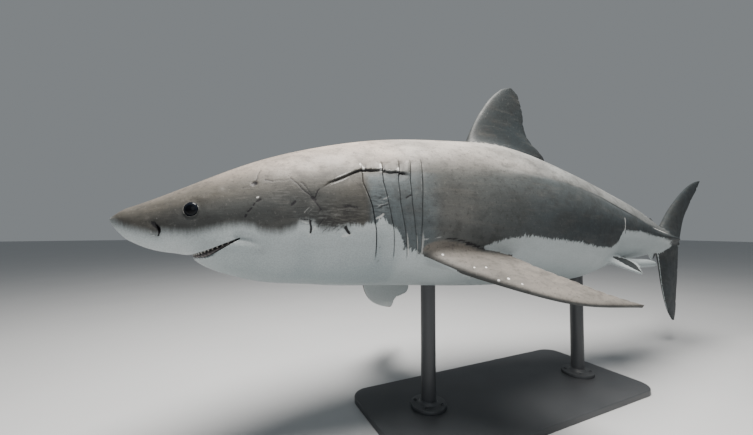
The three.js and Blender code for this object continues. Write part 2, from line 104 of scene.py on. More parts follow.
print("a step at 0, a quarter and a half:", [float(smooth(x)) for x in (0, 0.25, 0.5)])

# %% [markdown]
# ## The bent line of the back
# Stations count per cents of the length from the snout. At each one the body heads a little to one
# side or the other and climbs or falls. Adding up short steps in those directions gives the line.

# %% Body line
SNOUT = np.array([-1.7, 0.025, 0.9])
STEP = 0.25
heading = curve_through([0, 20, 35, 50, 65, 80, 100], [1.9, -0.2, -2.7, -4.2, 1.1, 6.1, 6.7])
climb = lines_through([0, 50, 100], [3.3, -3.0, -9.1])


def unit(v):
    """A vector, or many, divided by its length."""
    return v / np.linalg.norm(v, axis=-1, keepdims=True)


def tailward(s):
    """Unit vector along the body: heading turns it in plan, climb lifts it."""
    turn, rise = np.radians(heading(s)), np.radians(climb(s))
    return np.stack([np.cos(turn) * np.cos(rise), np.sin(turn) * np.cos(rise), np.sin(rise)], -1)


knots = np.arange(0, 105, STEP)
spine = SNOUT + np.vstack([np.zeros(3), np.cumsum(tailward(knots[:-1] + STEP / 2), 0)]) * STEP * PC


def station(s):
    """Place on the line and the three directions there: tailward, to the left, and up."""
    s = np.asarray(s, float)
    at = np.stack([np.interp(s, knots, spine[:, i]) for i in range(3)], -1)
    tail = tailward(s)
    left = unit(np.stack([tail[..., 1], -tail[..., 0], 0 * tail[..., 0]], -1))
    return at, tail, left, np.cross(left, tail)


def place(fixed, s, l, u):
    """A point given as s, l to the left and u up, in the straight frame of one fixed station."""
    at, tail, left, up = station(fixed)
    s, l, u = np.broadcast_arrays(np.asarray(s, float), l, u)
    return at + PC * (tail * (s - fixed)[..., None] + left * l[..., None] + up * u[..., None])


def body_place(points):
    """The way back: s, l and u of points, by walking along the line until each is abreast."""
    s = (points[:, 0] - SNOUT[0]) / PC
    for _ in range(6):
        at, tail, left, up = station(s)
        s = np.clip(s + ((points - at) * tail).sum(-1) / PC, -3, 104)
    at, tail, left, up = station(s)
    away = (points - at) / PC
    return s, (away * left).sum(-1), (away * up).sum(-1)


print("line from", spine[0].round(3), "to", spine[-1].round(3))

# %% [markdown]
# ## Sections of the body
# A section is two half ovals: one from the widest line up to the crown, one down to the belly. The
# power of the oval makes it fuller or leaner. The snout and the end of the tail are rounded off, the
# chin drops below the snout, and a flat keel stands out of each side of the tail stem. The mouth
# lies in a slanting plane, and above that plane the chin has to start gradually.

# %% Sections
STATIONS = [0, 2.5, 6, 11, 17, 24, 32, 40, 48, 56, 63, 71, 79, 85, 91]
crown = curve_through(
    STATIONS, [0.55, 1.45, 2.95, 5.1, 6.95, 8.4, 9.2, 9.5, 8.3, 6.7, 5.3, 3.8, 2.1, 1.45, 0.35])
keel_line = curve_through(
    STATIONS, [0.8, 2.45, 3.35, 5.35, 7, 7.6, 8.15, 8.35, 8.1, 7.5, 5.45, 4.05, 2.65, 1.85, 0.35])
half_width = curve_through(
    STATIONS, [0.85, 2.15, 3.75, 5.4, 6.7, 7.6, 8, 7.8, 6.6, 5, 3.75, 2.6, 1.7, 1.05, 0.2])
widest_at = lines_through([0, 2.2, 6, 15, 30, 50, 70, 91], [0.1, -0.37, -0.5, -0.3, 0.2, 0.3, 0.1, 0])
squareness = lines_through([0, 10, 40, 60, 80], [2.1, 2.15, 2.15, 2, 2])
SNOUT_ROUND, SNOUT_POINT, TAIL_END, TAIL_ROUND = 1.3, 1.2, 90.3, 1.2
CHIN_START, CHIN_RISE, CHIN_EASE, CHIN_FADE_FROM, CHIN_FADE_OVER = 5.85, 2.4, 1.3, 8, 9
SIDE_KEEL = dict(at=80.2, spread=4.3, out=1.5, half_angle=math.radians(14))
MOUTH_FRONT, MOUTH_CORNER = (5.75, -3.35), (9.6, -1.85)  # station and height of the lips


def lip_height(s):
    """The mouth plane's height at a station, straight from front to corner."""
    (s0, u0), (s1, u1) = MOUTH_FRONT, MOUTH_CORNER
    return u0 + (u1 - u0) * (s - s0) / (s1 - s0)


def reaches(s, eased=0.0):
    """The widest line's height, and the reach of the section above and below it. Eased is 1 over
    the mouth, where the chin's blunt start must leave no step in the cheek."""
    middle = widest_at(s)
    blunt = round_off((s - CHIN_START) / CHIN_RISE)
    gradual = smooth((s - CHIN_START + CHIN_EASE) / (CHIN_RISE + CHIN_EASE))
    chin = blunt + eased * (gradual - blunt)
    chin = chin * (1 - smooth((s - CHIN_FADE_FROM) / CHIN_FADE_OVER))
    return middle, crown(s) - middle, middle + keel_line(s) + chin


def section(s, angle, eased=0.0):
    """Angle 0 is the left side, a quarter turn the back: signed powers of cosine and sine."""
    s, angle = np.broadcast_arrays(np.asarray(s, float), angle)
    ends = round_off(s / SNOUT_ROUND) ** SNOUT_POINT * round_off((TAIL_END - s) / TAIL_ROUND)
    c, h, power = np.cos(angle), np.sin(angle), 2 / squareness(s)
    middle, above, below = reaches(s, eased)
    from_side = np.arcsin(np.clip(np.abs(h), 0, 1))
    keel = SIDE_KEEL["out"] * hump(s - SIDE_KEEL["at"], SIDE_KEEL["spread"])
    keel = keel * hump(from_side, SIDE_KEEL["half_angle"])
    l = np.sign(c) * (half_width(s) * np.abs(c) ** power + keel)
    u = np.where(h >= 0, above, below) * np.sign(h) * np.abs(h) ** power
    return l * ends, u * ends + middle


def skin_point(s, angle, outward=0.0, eased=0.0):
    """A point of the skin, moved outward in metres in the plane of its section."""
    at, tail, left, up = station(s)
    l, u = section(s, angle, eased)
    across = l * PC + outward * np.cos(angle)
    height = u * PC + outward * np.sin(angle)
    return at + left * across[..., None] + up * height[..., None]


def outside(s, l, u):
    """Metres outside the bare body, measured from the middle of the section."""
    middle, above, below = reaches(s)
    power = squareness(s)
    reach = np.where(u > middle, above, below)
    rho = (np.abs(l / half_width(s)) ** power + np.abs((u - middle) / reach) ** power) ** (1 / power)
    return (1 - 1 / np.maximum(rho, 1e-3)) * np.hypot(l, u - middle) * PC


def on_skin(points, side=1):
    """Room places of (station, degrees up from the side), on the left or, for side -1, the right."""
    s, turn = np.array(points, float).T
    return skin_point(s, np.radians(turn if side > 0 else 180 - turn))


print("at station 40 the body is", round(float(crown(40) + keel_line(40)) * PC, 2), "m deep and",
      round(2 * float(half_width(40)) * PC, 2), "m wide")

# %% [markdown]
# ## Relief: folds, slits and hollows
# The living skin isn't a smooth tube. Each fold or hollow is a bell-shaped rise or dip along a short
# line drawn on the skin. We measure how far every vertex is from that line and add up the bells.

# %% Distance to a line on the skin
def from_line(points, line):
    """Nearest point of a line of straight pieces: distance, share along, and the vector to it."""
    best = np.full(len(points), np.inf)
    share, away = np.zeros(len(points)), np.zeros_like(points)
    lengths = np.linalg.norm(np.diff(line, axis=0), axis=1)
    before = np.concatenate([[0], np.cumsum(lengths)])
    for a, b, run, length in zip(line[:-1], line[1:], before, lengths):
        t = np.clip(((points - a) @ (b - a)) / length**2, 0, 1)
        gap = points - a - t[:, None] * (b - a)
        d = np.linalg.norm(gap, axis=1)
        nearer = d < best
        best[nearer], away[nearer] = d[nearer], gap[nearer]
        share[nearer] = (run + t[nearer] * length) / before[-1]
    return best, share, away


print("from the point (0, 1, 0) to a line along x:", from_line(np.eye(3)[[1]], np.diag([1, 0, 0])[[1, 0]])[0])

# %% [markdown]
# Five gill slits on each side. Columns of the grid follow the slits, so that each has a crisp edge:
# the flap in front swells a little, the slit is a narrow groove, and the skin behind starts lower.

# %% Gill slits
SLIT_TURNS = [-30, -10, 5, 20, 35]  # degrees up from the side
SLIT_STATIONS = [[21.2, 20.95, 20.55, 19.85, 20.0],
                 [23.0, 22.65, 22.15, 21.8, 22.0],
                 [24.4, 23.8, 23.3, 23.3, 23.8],
                 [25.5, 24.85, 24.5, 24.5, 25.0],
                 [25.8, 25.5, 25.55, 25.85, 26.2]]
SLIT_NOMINAL = np.array([20.5, 22.3, 23.7, 24.9, 25.9])
SLIT_STRENGTH = [0.7, 0.85, 1, 1, 1]
SLIT_COLUMNS = [-0.34, -0.16, -0.075, -0.03, 0, 0.03, 0.075, 0.16, 0.34]
GILLS_FROM, GILLS_TO = 18.6, 27.6


def window(x, start, rise, end, fall):
    """1 between start and end, with a smooth step up after the start and one down before the end."""
    return smooth((x - start) / rise) * smooth((end - x) / fall)


def side_turn(angle):
    """Degrees up from the side, the same on left and right."""
    return np.degrees(np.arcsin(np.clip(np.sin(angle), -1, 1)))


def follow_slits(sigma, angle):
    """Bends the grid's columns in the gill region so that they lie along the slits."""
    turn = side_turn(angle)
    marks = [GILLS_FROM, *SLIT_NOMINAL, GILLS_TO]
    moved = [GILLS_FROM + 0 * turn, *(np.interp(turn, SLIT_TURNS, row) for row in SLIT_STATIONS),
             GILLS_TO + 0 * turn]
    out = sigma + 0 * turn
    for a, b, moved_a, moved_b in zip(marks[:-1], marks[1:], moved[:-1], moved[1:]):
        t = (sigma - a) / (b - a)
        out = np.where((sigma >= a) & (sigma <= b), moved_a + (moved_b - moved_a) * t, out)
    return out


def slit_relief(sigma, angle):
    """Metres in or out, the painted shade in the groove, and the painted highlight on the rim beside it."""
    turn = side_turn(angle)
    rise, dark, pale = (0 * (sigma + angle) for _ in range(3))
    length = window(turn, -33, 5, 37, 4)
    upper, lower = smooth((turn - 2) / 12), smooth((-6 - turn) / 14)
    for nominal, strength in zip(SLIT_NOMINAL, SLIT_STRENGTH):
        x = (sigma - nominal) * PC
        flap = 0.0035 * hump(x + 0.009, 0.010) * (x <= 0)
        behind = -0.0045 * np.exp(-np.abs(x) / 0.013) * (x > 0)
        groove = -0.012 * hump(x, 0.0015)
        rise = rise + strength * length * (flap + behind + groove)
        dark = np.maximum(dark, 0.9 * length * hump(x - 0.0004, 0.0021))
        rim_highlight = 0.42 * upper * hump(x + 0.005, 0.0016) + 0.8 * strength**4 * lower * hump(x - 0.0052, 0.0024)
        pale = np.maximum(pale, length * rim_highlight)
    return rise, dark, pale


print("gill slits on each side:", len(SLIT_NOMINAL))

# %% [markdown]
# Everything else on the bare body. The heavy fold above the gills and the groove along the flank have their
# own painted shade, and the fold painted highlights as well. The rest are plain bells: jaw, brow, cheek, a
# ring round the eye, nostril, the hollow over each pectoral fin, three pits, and the notch before the tail.

# %% Folds and hollows
GILL_FOLD = [(16, 18), (16.9, 22.5), (18.2, 26), (19.3, 29), (20, 30), (20.9, 29), (21.8, 28.5),
             (22.6, 26.5), (23.5, 26), (24, 25), (24.6, 22)]
LIP_CREASE = [(9.4, -14), (10.2, -15.5), (10.9, -18), (12, -22)]
FLANK_GROOVE = [(33, 38), (36.3, 34), (40, 31), (44, 31), (48.5, 33), (55, 33), (58, 30), (61.4, 27),
                (65.2, 24), (69, 18)]
NOSTRIL = [(3.3, 2), (3.58, -5), (3.7, -12), (3.66, -19), (3.55, -26)]
JAW = [(7.8, -34), (9, -29), (10.2, -30)]
BROW = [(4.2, 27), (5.2, 31), (6.4, 33), (8, 34)]
CHEEK = [(7.5, 6), (9.5, 8), (12, 10)]
EYE_SPOT = [(6, 17), (6.02, 17)]
PECTORAL_HOLLOW = [(27.6, -12), (29.5, -14), (31.5, -16), (33.5, -20)]
BELLS = [(JAW, 0.010, 0, 0.050), (BROW, 0.003, 0, 0.022), (CHEEK, 0.002, 0, 0.03),  # rise, offset, width
         (EYE_SPOT, -0.002, 0.03, 0.012), (NOSTRIL, -0.003, 0, 0.012), (PECTORAL_HOLLOW, -0.006, 0, 0.040)]
LONE_BELLS = [([(s, turn), (s + 0.02, turn)], -depth, 0, wide) for s, turn, depth, wide in
              ((10.8, 33, 0.003, 0.008), (18.2, -10, 0.004, 0.012), (15.5, 12, 0.003, 0.02))]
LONE_BELLS += [([(81.7, top - 14), (81.4, top), (81.7, top + 14)], -0.006, 0, 0.008) for top in (90, -90)]


def body_relief(bare, up):
    """Metres in or out, and how dark and how pale (painted shade in the fold and the flank groove, painted
    highlights along the fold), at each point of the bare skin.
    """
    points, up = bare.reshape(-1, 3), up.reshape(-1, 3)
    rise, dark, pale = (np.zeros(len(points)) for _ in range(3))
    for side in (1, -1):
        d, share, away = from_line(points, on_skin(GILL_FOLD, side))
        above = (away * up).sum(-1)
        ends = window(share, 0, 0.25, 1, 0.1)
        rise += 0.005 * ends * (hump(d, 0.026) * np.clip(above / 0.004, 0, 1) - hump(d, 0.003))
        rise -= 0.002 * ends * hump(d, 0.026) * np.clip(-above / 0.004, 0, 1)
        # the fold's dark line is painted shade under its overhang, and the pale lines beside it are painted
        # highlights
        wave = np.sin(14 * share + 1)
        dark += (0.95 + 0.4 * wave) * hump(d + 0.0005, 0.0034) * ends
        pale += (0.35 - 0.3 * wave) * hump(d - 0.007, 0.0028) * (above > 0) * ends
        pale += 0.55 * hump(share - 0.22, 0.11) * hump(d - 0.008, 0.0026) * (above < 0)
        d, share, _ = from_line(points, on_skin(LIP_CREASE, side))
        rise -= 0.010 * hump(d, 0.012) * (1 - smooth(share))
        d, share, _ = from_line(points, on_skin(FLANK_GROOVE, side))
        ends = window(share, 0, 0.15, 1, 0.2)
        rise -= 0.003 * hump(d, 0.016) * ends
        # painted shade along the flank groove
        dark += (0.3 + 0.5 * smooth((share - 0.5) / 0.2)) * hump(d, 0.0048) * ends
        for line, more, offset, wide in BELLS + LONE_BELLS * (side > 0):
            rise += more * hump(from_line(points, on_skin(line, side))[0] - offset, wide)
    return (part.reshape(bare.shape[:-1]) for part in (rise, dark, pale))


print("folds and hollows:", 3 + len(BELLS), "on each side and", len(LONE_BELLS), "on one")

# %% [markdown]
# Scars and scratches on the left side: short lines on the skin, given as station and height. Among them are
# soft dark patches on the snout and round the nostril and the eye, painted shadows in creases and gaps, and
# painted highlights on small folds and edges. Dark marks are also cut in a little, pale ones stand up a
# little, as healed skin does.

# %% Scars
# each: half its width, its strength, then station and height of each point, lengths in per cents
DARK_MARKS = [
    (0.26, 0.95, 10.72, 2.58, 10.92, 2.66), (0.1, 0.6, 10.9, 2.8, 11.15, 3.4, 11.45, 3.95),
    (0.16, 0.45, 10.8, 2.6, 9.9, 2.25), (0.085, 0.9, 11.6, 2.95, 12.2, 2.86),
    (0.085, 0.4, 12.2, 2.86, 13.7, 3), (0.15, 0.85, 10.92, 1.12, 11.12, 1.22),
    (0.1, 0.8, 10.75, 0.95, 10.6, 0.72), (0.12, 0.85, 10.42, 0.5, 10.2, 0.28),
    (0.12, 0.85, 10.05, 0.02, 9.93, -0.18), (0.16, 0.7, 13.55, 0.72, 13.9, 1.08),
    (0.085, 0.85, 13.7, 3.1, 14.6, 2.1, 15.4, 1.3), (0.15, 0.7, 15.4, 1.3, 15.95, 0.35),
    (0.085, 0.7, 14.5, 2.75, 15.38, 1.5), (0.085, 0.8, 15.9, 2.1, 15.45, 1.3),
    (0.24, 0.9, 15.3, 1.38, 15.5, 1.18), (0.1, 0.7, 14.3, -0.42, 15.2, -0.6),
    (0.15, 0.9, 15.08, -0.6, 15.12, -1.6), (0.085, 0.6, 15.7, -1.15, 16.3, -0.2),
    (0.085, 0.6, 15.9, 0.4, 15.75, -0.05), (0.085, 0.55, 16.1, -1.6, 16.8, -0.9),
    (0.085, 0.5, 16.5, -1.55, 17, -0.85), (0.085, 0.6, 17, -1.4, 17.7, -0.9),
    (0.085, 0.5, 17.2, -1.65, 17.9, -1.05), (0.22, 0.6, 18, 0.62, 19.2, 0.52),
    (0.22, 0.95, 18.12, -1.25, 18.4, -1.75), (0.085, 0.6, 18.5, -0.85, 19.4, -0.6),
    (0.11, 0.9, 23.9, 1.48, 24.4, 1.72), (0.09, 0.7, 21.2, 0.5, 22, 0.82),
    # here and on the next line, the upright marks at heights 3.75 to 4.5 are painted shadows beside small
    # folds at the tops of the slits
    (0.085, 0.5, 20.9, 1.25, 21.5, 1.4), (0.09, 0.8, 20.35, 4.5, 20.35, 3.95),
    (0.09, 0.8, 22.15, 4.5, 22.15, 3.9), (0.09, 0.7, 23.85, 4.2, 23.75, 3.75),
    # here and on the next two lines, the strokes before station 8 are soft dark patches on the snout and
    # round the nostril and the eye
    (0.16, 0.35, 3.2, 0.5, 3, 0.3), (0.34, 0.75, 3.3, -0.35, 3.6, -0.8), (0.45, 0.35, 0.3, -0.3, 1.4, -0.25),
    (0.2, 0.35, 2.8, 0.85, 4.2, 1.1, 5.2, 1.3), (0.7, 0.3, 5.6, -0.25, 7.8, -0.35),
    (0.6, 0.25, 4, -0.2, 5, 0.1), (0.16, 0.8, 61.15, -0.1, 61, -0.75), (0.12, 0.6, 57.2, -3.4, 57.1, -4),
    (0.13, 0.8, 23.75, -2.6, 23.9, -2.75), (0.14, 0.8, 23.8, -3.1, 23.9, -3.4),
    (0.1, 0.6, 21.4, -3, 21.42, -3.05), (0.12, 0.6, 21.5, -4.4, 21.52, -4.45),
    # painted shadow in the gap above the left pectoral fin's rear root
    (0.14, 0.9, 28.6, -2.42, 29.6, -2.5, 30.8, -2.75), (0.26, 0.95, 30.8, -2.8, 32.4, -3.2, 33.6, -3.65),
    # the first mark is painted shadow in the crease behind the corner of the mouth
    (0.5, 0.22, 9.6, -1.95, 10.3, -2.25, 11.2, -2.9), (0.5, 0.3, 16.2, 0.2, 16.6, -0.3)]
PALE_MARKS = [
    # the first mark is a painted highlight along the top of the left pectoral fin's root
    (0.08, 0.5, 26, -2.42, 27, -2.33, 28, -2.3, 28.9, -2.38), (0.09, 0.75, 10.9, 1.42, 11, 1.45),
    (0.085, 0.6, 15.45, -1.1, 14.9, -1.95), (0.085, 0.45, 14.4, -0.62, 14.95, -0.85),
    (0.085, 0.3, 14.6, 0.05, 15, 0.6), (0.085, 0.25, 14.85, -0.05, 15.2, 0.4),
    (0.085, 0.2, 15.9, -1.1, 16.45, -0.25), (0.11, 0.9, 17.85, -2, 18.5, -1.92),
    (0.1, 0.2, 18.15, 0.3, 18.7, 0.24), (0.085, 0.35, 21.2, 0.66, 22, 0.98),
    # here and on the next line, the upright marks at heights 3.8 to 4.55 are painted highlights on small
    # folds at the tops of the slits
    (0.085, 0.35, 21.6, 1.3, 22.2, 1.5), (0.16, 0.95, 19.98, 4.55, 20.05, 3.95),
    (0.16, 0.95, 21.75, 4.55, 21.75, 3.95), (0.14, 0.9, 23.45, 4.2, 23.4, 3.8),
    (0.13, 0.7, 20.9, -0.5, 21.6, -0.1), (0.15, 0.95, 60.75, -0.4, 60.9, 1.4),
    (0.1, 0.8, 64.6, -0.2, 64.7, 0.7), (0.085, 0.7, 66.2, -0.1, 66.3, 0.6),
    (0.085, 0.6, 53.4, -2.9, 53.5, -2.3), (0.085, 0.5, 49, -2.2, 49.1, -1.7),
    # the first mark is a painted highlight along the upper edge of the keel on the tail stem
    (0.13, 0.9, 72.3, 1, 75.2, 0.85, 79.5, 0.7, 82.9, 0.5), (0.1, 0.25, 3.45, 0, 3.65, -0.1),
    (0.13, 0.3, 3.05, -1.05, 3.3, -1.3), (0.14, 0.12, 5.1, 1, 5.6, 1.32),
    (0.085, 0.5, 24.1, -2.2, 24.5, -3.5)]
DARK_DEPTH, PALE_HEIGHT = 0.0010, 0.0005  # metres
print("marks:", len(DARK_MARKS), "dark,", len(PALE_MARKS), "pale")


def marks(s, u, lines):
    """For each straight piece the distance to its nearest point makes a soft mark; the strongest
    wins. Slow waves in both directions keep the pieces from looking ruled."""
    wavy_s = s + 0.03 * np.sin(7.1 * u + 1.3 * s)
    wavy_u = u + 0.03 * np.sin(6.3 * s + 2.1 * u)
    total = np.zeros_like(s)
    for width, strength, *numbers in lines:
        points = np.array(numbers).reshape(-1, 2)
        for a, b in zip(points[:-1], points[1:]):
            near = np.abs(s - (a[0] + b[0]) / 2) < abs(b[0] - a[0]) / 2 + 2 * width + 0.2
            gap = np.stack([wavy_s[near], wavy_u[near]], -1) - a
            share = np.clip(gap @ (b - a) / ((b - a) @ (b - a)), 0, 1)
            d = np.linalg.norm(gap - share[:, None] * (b - a), axis=1)
            total[near] = np.maximum(total[near], strength * (1 - smooth((d / width - 0.2) / 0.9)))
    return total

# %% [markdown]
# ## From arrays to meshes
# `from_pydata` takes the vertices and the faces of a tube of loops. Each loop's last vertex meets
# its first. Numbers kept on the vertices, as attributes, will later tell the material what is where.

# %% Mesh helpers
def closed_tube(points):
    """Vertices and faces of a tube of loops, ended by the middle of its first and last loop."""
    loops, around, _ = points.shape
    here = np.arange(loops * around).reshape(loops, around)
    after = np.roll(here, -1, axis=1)
    quads = np.stack([here[:-1], after[:-1], after[1:], here[1:]], -1).reshape(-1, 4).tolist()
    first, last = loops * around, loops * around + 1
    caps = [(first, b, a) for a, b in zip(here[0].tolist(), after[0].tolist())]
    caps += [(last, a, b) for a, b in zip(here[-1].tolist(), after[-1].tolist())]
    ends = np.stack([points[0].mean(0), points[-1].mean(0)])
    return np.vstack([points.reshape(-1, 3), ends]), quads + caps


def read(items, name, width, kind=float):
    """One property of many vertices, edges or triangles as an array with a few numbers in a row."""
    got = np.empty(len(items) * width, kind)
    items.foreach_get(name, got)
    return got.reshape(-1, width)


def keep(mesh, name, value):
    """A number on every vertex. Where the values run short, the last one goes to all the rest."""
    value = np.ravel(value).astype(np.float32)
    layer = mesh.attributes.get(name) or mesh.attributes.new(name, "FLOAT", "POINT")
    layer.data.foreach_set("value", np.pad(value, (0, len(mesh.vertices) - len(value)), mode="edge"))


def add_object(name, data):
    """A new object at the origin, in the scene."""
    piece = bpy.data.objects.new(name, data)
    bpy.context.scene.collection.objects.link(piece)
    return piece


def make_mesh(name, vertices, faces, **values):
    """A Blender object from arrays, turned inside out if its signed volume is below zero: the sum
    over triangles of a third of height times area."""
    mesh = bpy.data.meshes.new(name)
    mesh.from_pydata(vertices, [], faces)
    for key, value in values.items():
        keep(mesh, key, value)
    mesh.calc_loop_triangles()
    at = read(mesh.vertices, "co", 3)
    a, b, c = at[read(mesh.loop_triangles, "vertices", 3, int)].transpose(1, 0, 2)
    if (np.cross(a, b) * c).sum() < 0:
        mesh.flip_normals()
    return add_object(name, mesh)


print("a tube of 3 square loops has", len(closed_tube(np.zeros((3, 4, 3)))[1]), "faces")

# %% [markdown]
# ## The bare body
# The grid is dense where the detail is: at the snout, along the slits, and round the fold and the
# scars on the left side.

# %% Grid of the body
def spread(start, end, count):
    """Evenly spaced values, the end left out."""
    return np.linspace(start, end, count, endpoint=False)


SLIT_EXTRAS = [18.7, 18.8, 18.9, 19.0, 19.15, 19.3, 19.5, 19.7, 19.9, 20.0, 21.0, 21.2, 21.4, 21.6, 21.8,
               22.8, 22.95, 23.1, 24.15, 24.3, 24.45, 26.4, 26.7, 27.1]
columns = np.unique(np.concatenate([
    0.02 + SNOUT_ROUND * (1 - np.cos(spread(0, np.pi / 2, 16))),
    spread(1.34, 5.6, 34),
    spread(5.6, 6.6, 18),
    spread(6.6, 9.6, 26),
    spread(9.6, GILLS_FROM, 132),
    (SLIT_NOMINAL[:, None] + SLIT_COLUMNS).ravel(),
    SLIT_EXTRAS,
    spread(GILLS_TO, 68, 80),
    spread(60.2, 61.8, 10),
    spread(68, 88, 38),
    TAIL_END - TAIL_ROUND * 2.4 * (1 - np.sin(np.linspace(0.05, np.pi / 2, 9))) - 0.03,
]).round(4))

AROUND = 178
CROWDED = [(25, 1.2, 0.26), (155, 0.7, 0.26), (-15, 0.5, 0.4), (195, 0.3, 0.4), (10, 2.4, 0.42)]
fine = np.radians(np.arange(0, 360, 0.25))
density = 0.5 + sum(more * hump((fine - np.radians(middle) + np.pi) % (2 * np.pi) - np.pi, wide)
                    for middle, more, wide in CROWDED)
share = np.concatenate([[0], np.cumsum(density)])
rows = np.interp(np.arange(AROUND) / AROUND * share[-1], share, np.radians(np.arange(0, 360.25, 0.25)))
print("grid:", len(columns), "columns,", len(rows), "rows")

# %% [markdown]
# The relief moves each point of the bare body in or out. How dark and how pale a place is, from scars and
# from painted shade and highlights, goes along as numbers on the vertices. The kind tells later which piece a
# vertex came from.

# %% Body with its relief
BODY, FIN, CUT, LID = 1, 2, 3, 4


def grid(down, across):
    """Every pair of the two parameters, as two arrays of rows and columns."""
    return np.meshgrid(down, across, indexing="ij")


sigma, angle = grid(columns, rows)
s_grid = follow_slits(sigma, angle)
height = section(s_grid, angle)[1]
slit_rise, slit_dark, slit_pale = slit_relief(sigma, angle)
more_rise, more_dark, more_pale = body_relief(skin_point(s_grid, angle), station(s_grid)[3])
left_side = np.cos(angle) > 0
scar_dark, scar_pale = (left_side * marks(s_grid, height, lines) for lines in (DARK_MARKS, PALE_MARKS))
rise = slit_rise + more_rise - DARK_DEPTH * scar_dark + PALE_HEIGHT * scar_pale
rise *= round_off(s_grid / 2)
over_mouth = smooth((height - lip_height(s_grid) - 0.1) / 0.5)
vertices, faces = closed_tube(skin_point(s_grid, angle, rise, over_mouth))
skin = make_mesh("shark_skin", vertices, faces, kind=BODY,
                 dark=np.maximum.reduce([slit_dark, scar_dark, more_dark]),
                 light=np.maximum.reduce([slit_pale, scar_pale, more_pale]))
print(f"body grid {sigma.shape}, relief from {rise.min() * 1000:.1f} to {rise.max() * 1000:.1f} mm")

# %% [markdown]
# ## Fins
# A fin is a blade between a front edge and a rear edge, both splines from root to tip, with a thin
# wing's section across. Near the body it thickens, so that it grows out of the skin, and nicks are
# taken out of the rear edge, as in a fin that has lived.

# %% Blades
REAR_HALF = 0.0012  # half the thickness of a rear edge, in metres


def wing(c):
    """Half the thickness of a wing at a share c of the way back, about 1 where it is thickest."""
    return 10 * (0.2969 * np.sqrt(c) - 0.126 * c - 0.3516 * c**2 + 0.2843 * c**3 - 0.1036 * c**4)


def blade_grid(reach, count):
    """Root to tip t, share back c, and face (1 upper or left, -1 the other) round each slice."""
    c = (1 - np.cos(np.linspace(0, np.pi, count))) / 2
    face = np.concatenate([[0], np.ones(count - 1), -np.ones(count - 1)])
    t, c = grid(reach, np.concatenate([c, c[:0:-1]]))
    return t, c, face + 0 * t


def nicked(fin, t):
    """Per cents taken off the rear edge at t: a narrow bell for each nick (t, depth, width)."""
    return sum((depth * hump(t - at, width) for at, depth, width in fin.get("nicks", [])), 0 * t)


def thickness(fin, t, c, middle):
    """Half the thickness in metres: wing section, rear edge, and a flare near the body."""
    s, l, u = body_place(middle.reshape(-1, 3))
    clear = np.maximum(outside(np.clip(s, 1, 90), l, u), 0).reshape(t.shape)
    half = np.interp(t, [0, 1], fin["half"]) * PC * wing(c)
    edge = REAR_HALF * np.clip(c / 0.02, 0, 1) ** 0.5
    flare = fin["flare"] * np.exp(-clear / fin["flare_reach"]) * np.clip(wing(c), 0, 1) ** 0.6
    return half + edge + flare


def blade(fin, side, reach, count):
    """The fin's grid: t runs from root to tip, the loop runs round each slice."""
    t, c, face = blade_grid(reach, count)
    front_s, front_out, rear_s, rear_out = (
        curve_through(fin["t"], fin[key])(t) for key in ("front_s", "front_out", "rear_s", "rear_out"))
    s = front_s + (rear_s - nicked(fin, t) * c**3 - front_s) * c
    out = front_out + (rear_out - front_out) * c
    lean, (root_l, root_u) = math.radians(fin["lean"]), fin.get("root", (0, 0))
    l, u = root_l + math.cos(lean) * out, root_u + math.sin(lean) * out
    half = thickness(fin, t, c, place(fin["station"], s, side * l, u))
    l = l - math.sin(lean) * face * half / PC
    u = u + math.cos(lean) * face * half / PC
    return place(fin["station"], s, side * l, u), t, c, face


def root_to_tip(rows, crowd=1.25):
    """Rows of a fin, a little closer together towards the tip."""
    return 1 - (1 - np.linspace(0, 1, rows)) ** crowd


def add_fin(name, points, t, c, face):
    """A fin's mesh, with the numbers that say where on the fin each vertex lies."""
    vertices, faces = closed_tube(points)
    fins[name] = make_mesh(name, vertices, faces, kind=FIN, t=t, c=c, face=face)


print("a wing at its front, 0.3 back and rear:", [round(float(wing(c)), 2) for c in (0, 0.3, 1)])

# %% [markdown]
# The dorsal fins, the anal fin and the lobes of the tail stand upright, and the pelvic fins lean out.
# Each is two edges: stations and distances out from the body's line, given from root to tip.

# %% Upright and pelvic fins
FIRST_DORSAL = dict(
    station=43, lean=90, t=[0, 0.12, 0.3, 0.55, 0.8, 0.93, 1],
    front_s=[35.6, 37, 38.4, 40, 41.4, 42.3, 43.1], front_out=[7.6, 11.2, 13.9, 16.1, 17.4, 17.95, 18.15],
    rear_s=[48.2, 49.8, 47.1, 45.7, 44.95, 44.5, 43.9], rear_out=[6.6, 8.6, 11.2, 14.6, 16.9, 17.7, 18.05],
    half=[0.85, 0.22], flare=0.03, flare_reach=0.03,
    nicks=[(0.2, 0.1, 0.012), (0.27, 0.16, 0.016), (0.34, 0.1, 0.01), (0.47, 0.14, 0.014),
           (0.58, 0.1, 0.01), (0.66, 0.14, 0.012), (0.79, 0.1, 0.012), (0.93, 0.1, 0.015)])
SECOND_DORSAL = dict(
    station=75, lean=90, t=[0, 0.55, 1], front_s=[73.6, 75.2, 76.7], front_out=[1.4, 2.75, 3.25],
    rear_s=[76.8, 78.5, 77.4], rear_out=[1.2, 2.35, 3.1], half=[0.3, 0.08], flare=0.008, flare_reach=0.01)
ANAL = dict(
    station=77, lean=-90, t=[0, 0.55, 1], front_s=[75.2, 76.5, 77.7], front_out=[1.4, 3.1, 4],
    rear_s=[77.8, 79.4, 78.3], rear_out=[1.3, 2.8, 3.9], half=[0.3, 0.08], flare=0.008, flare_reach=0.01)
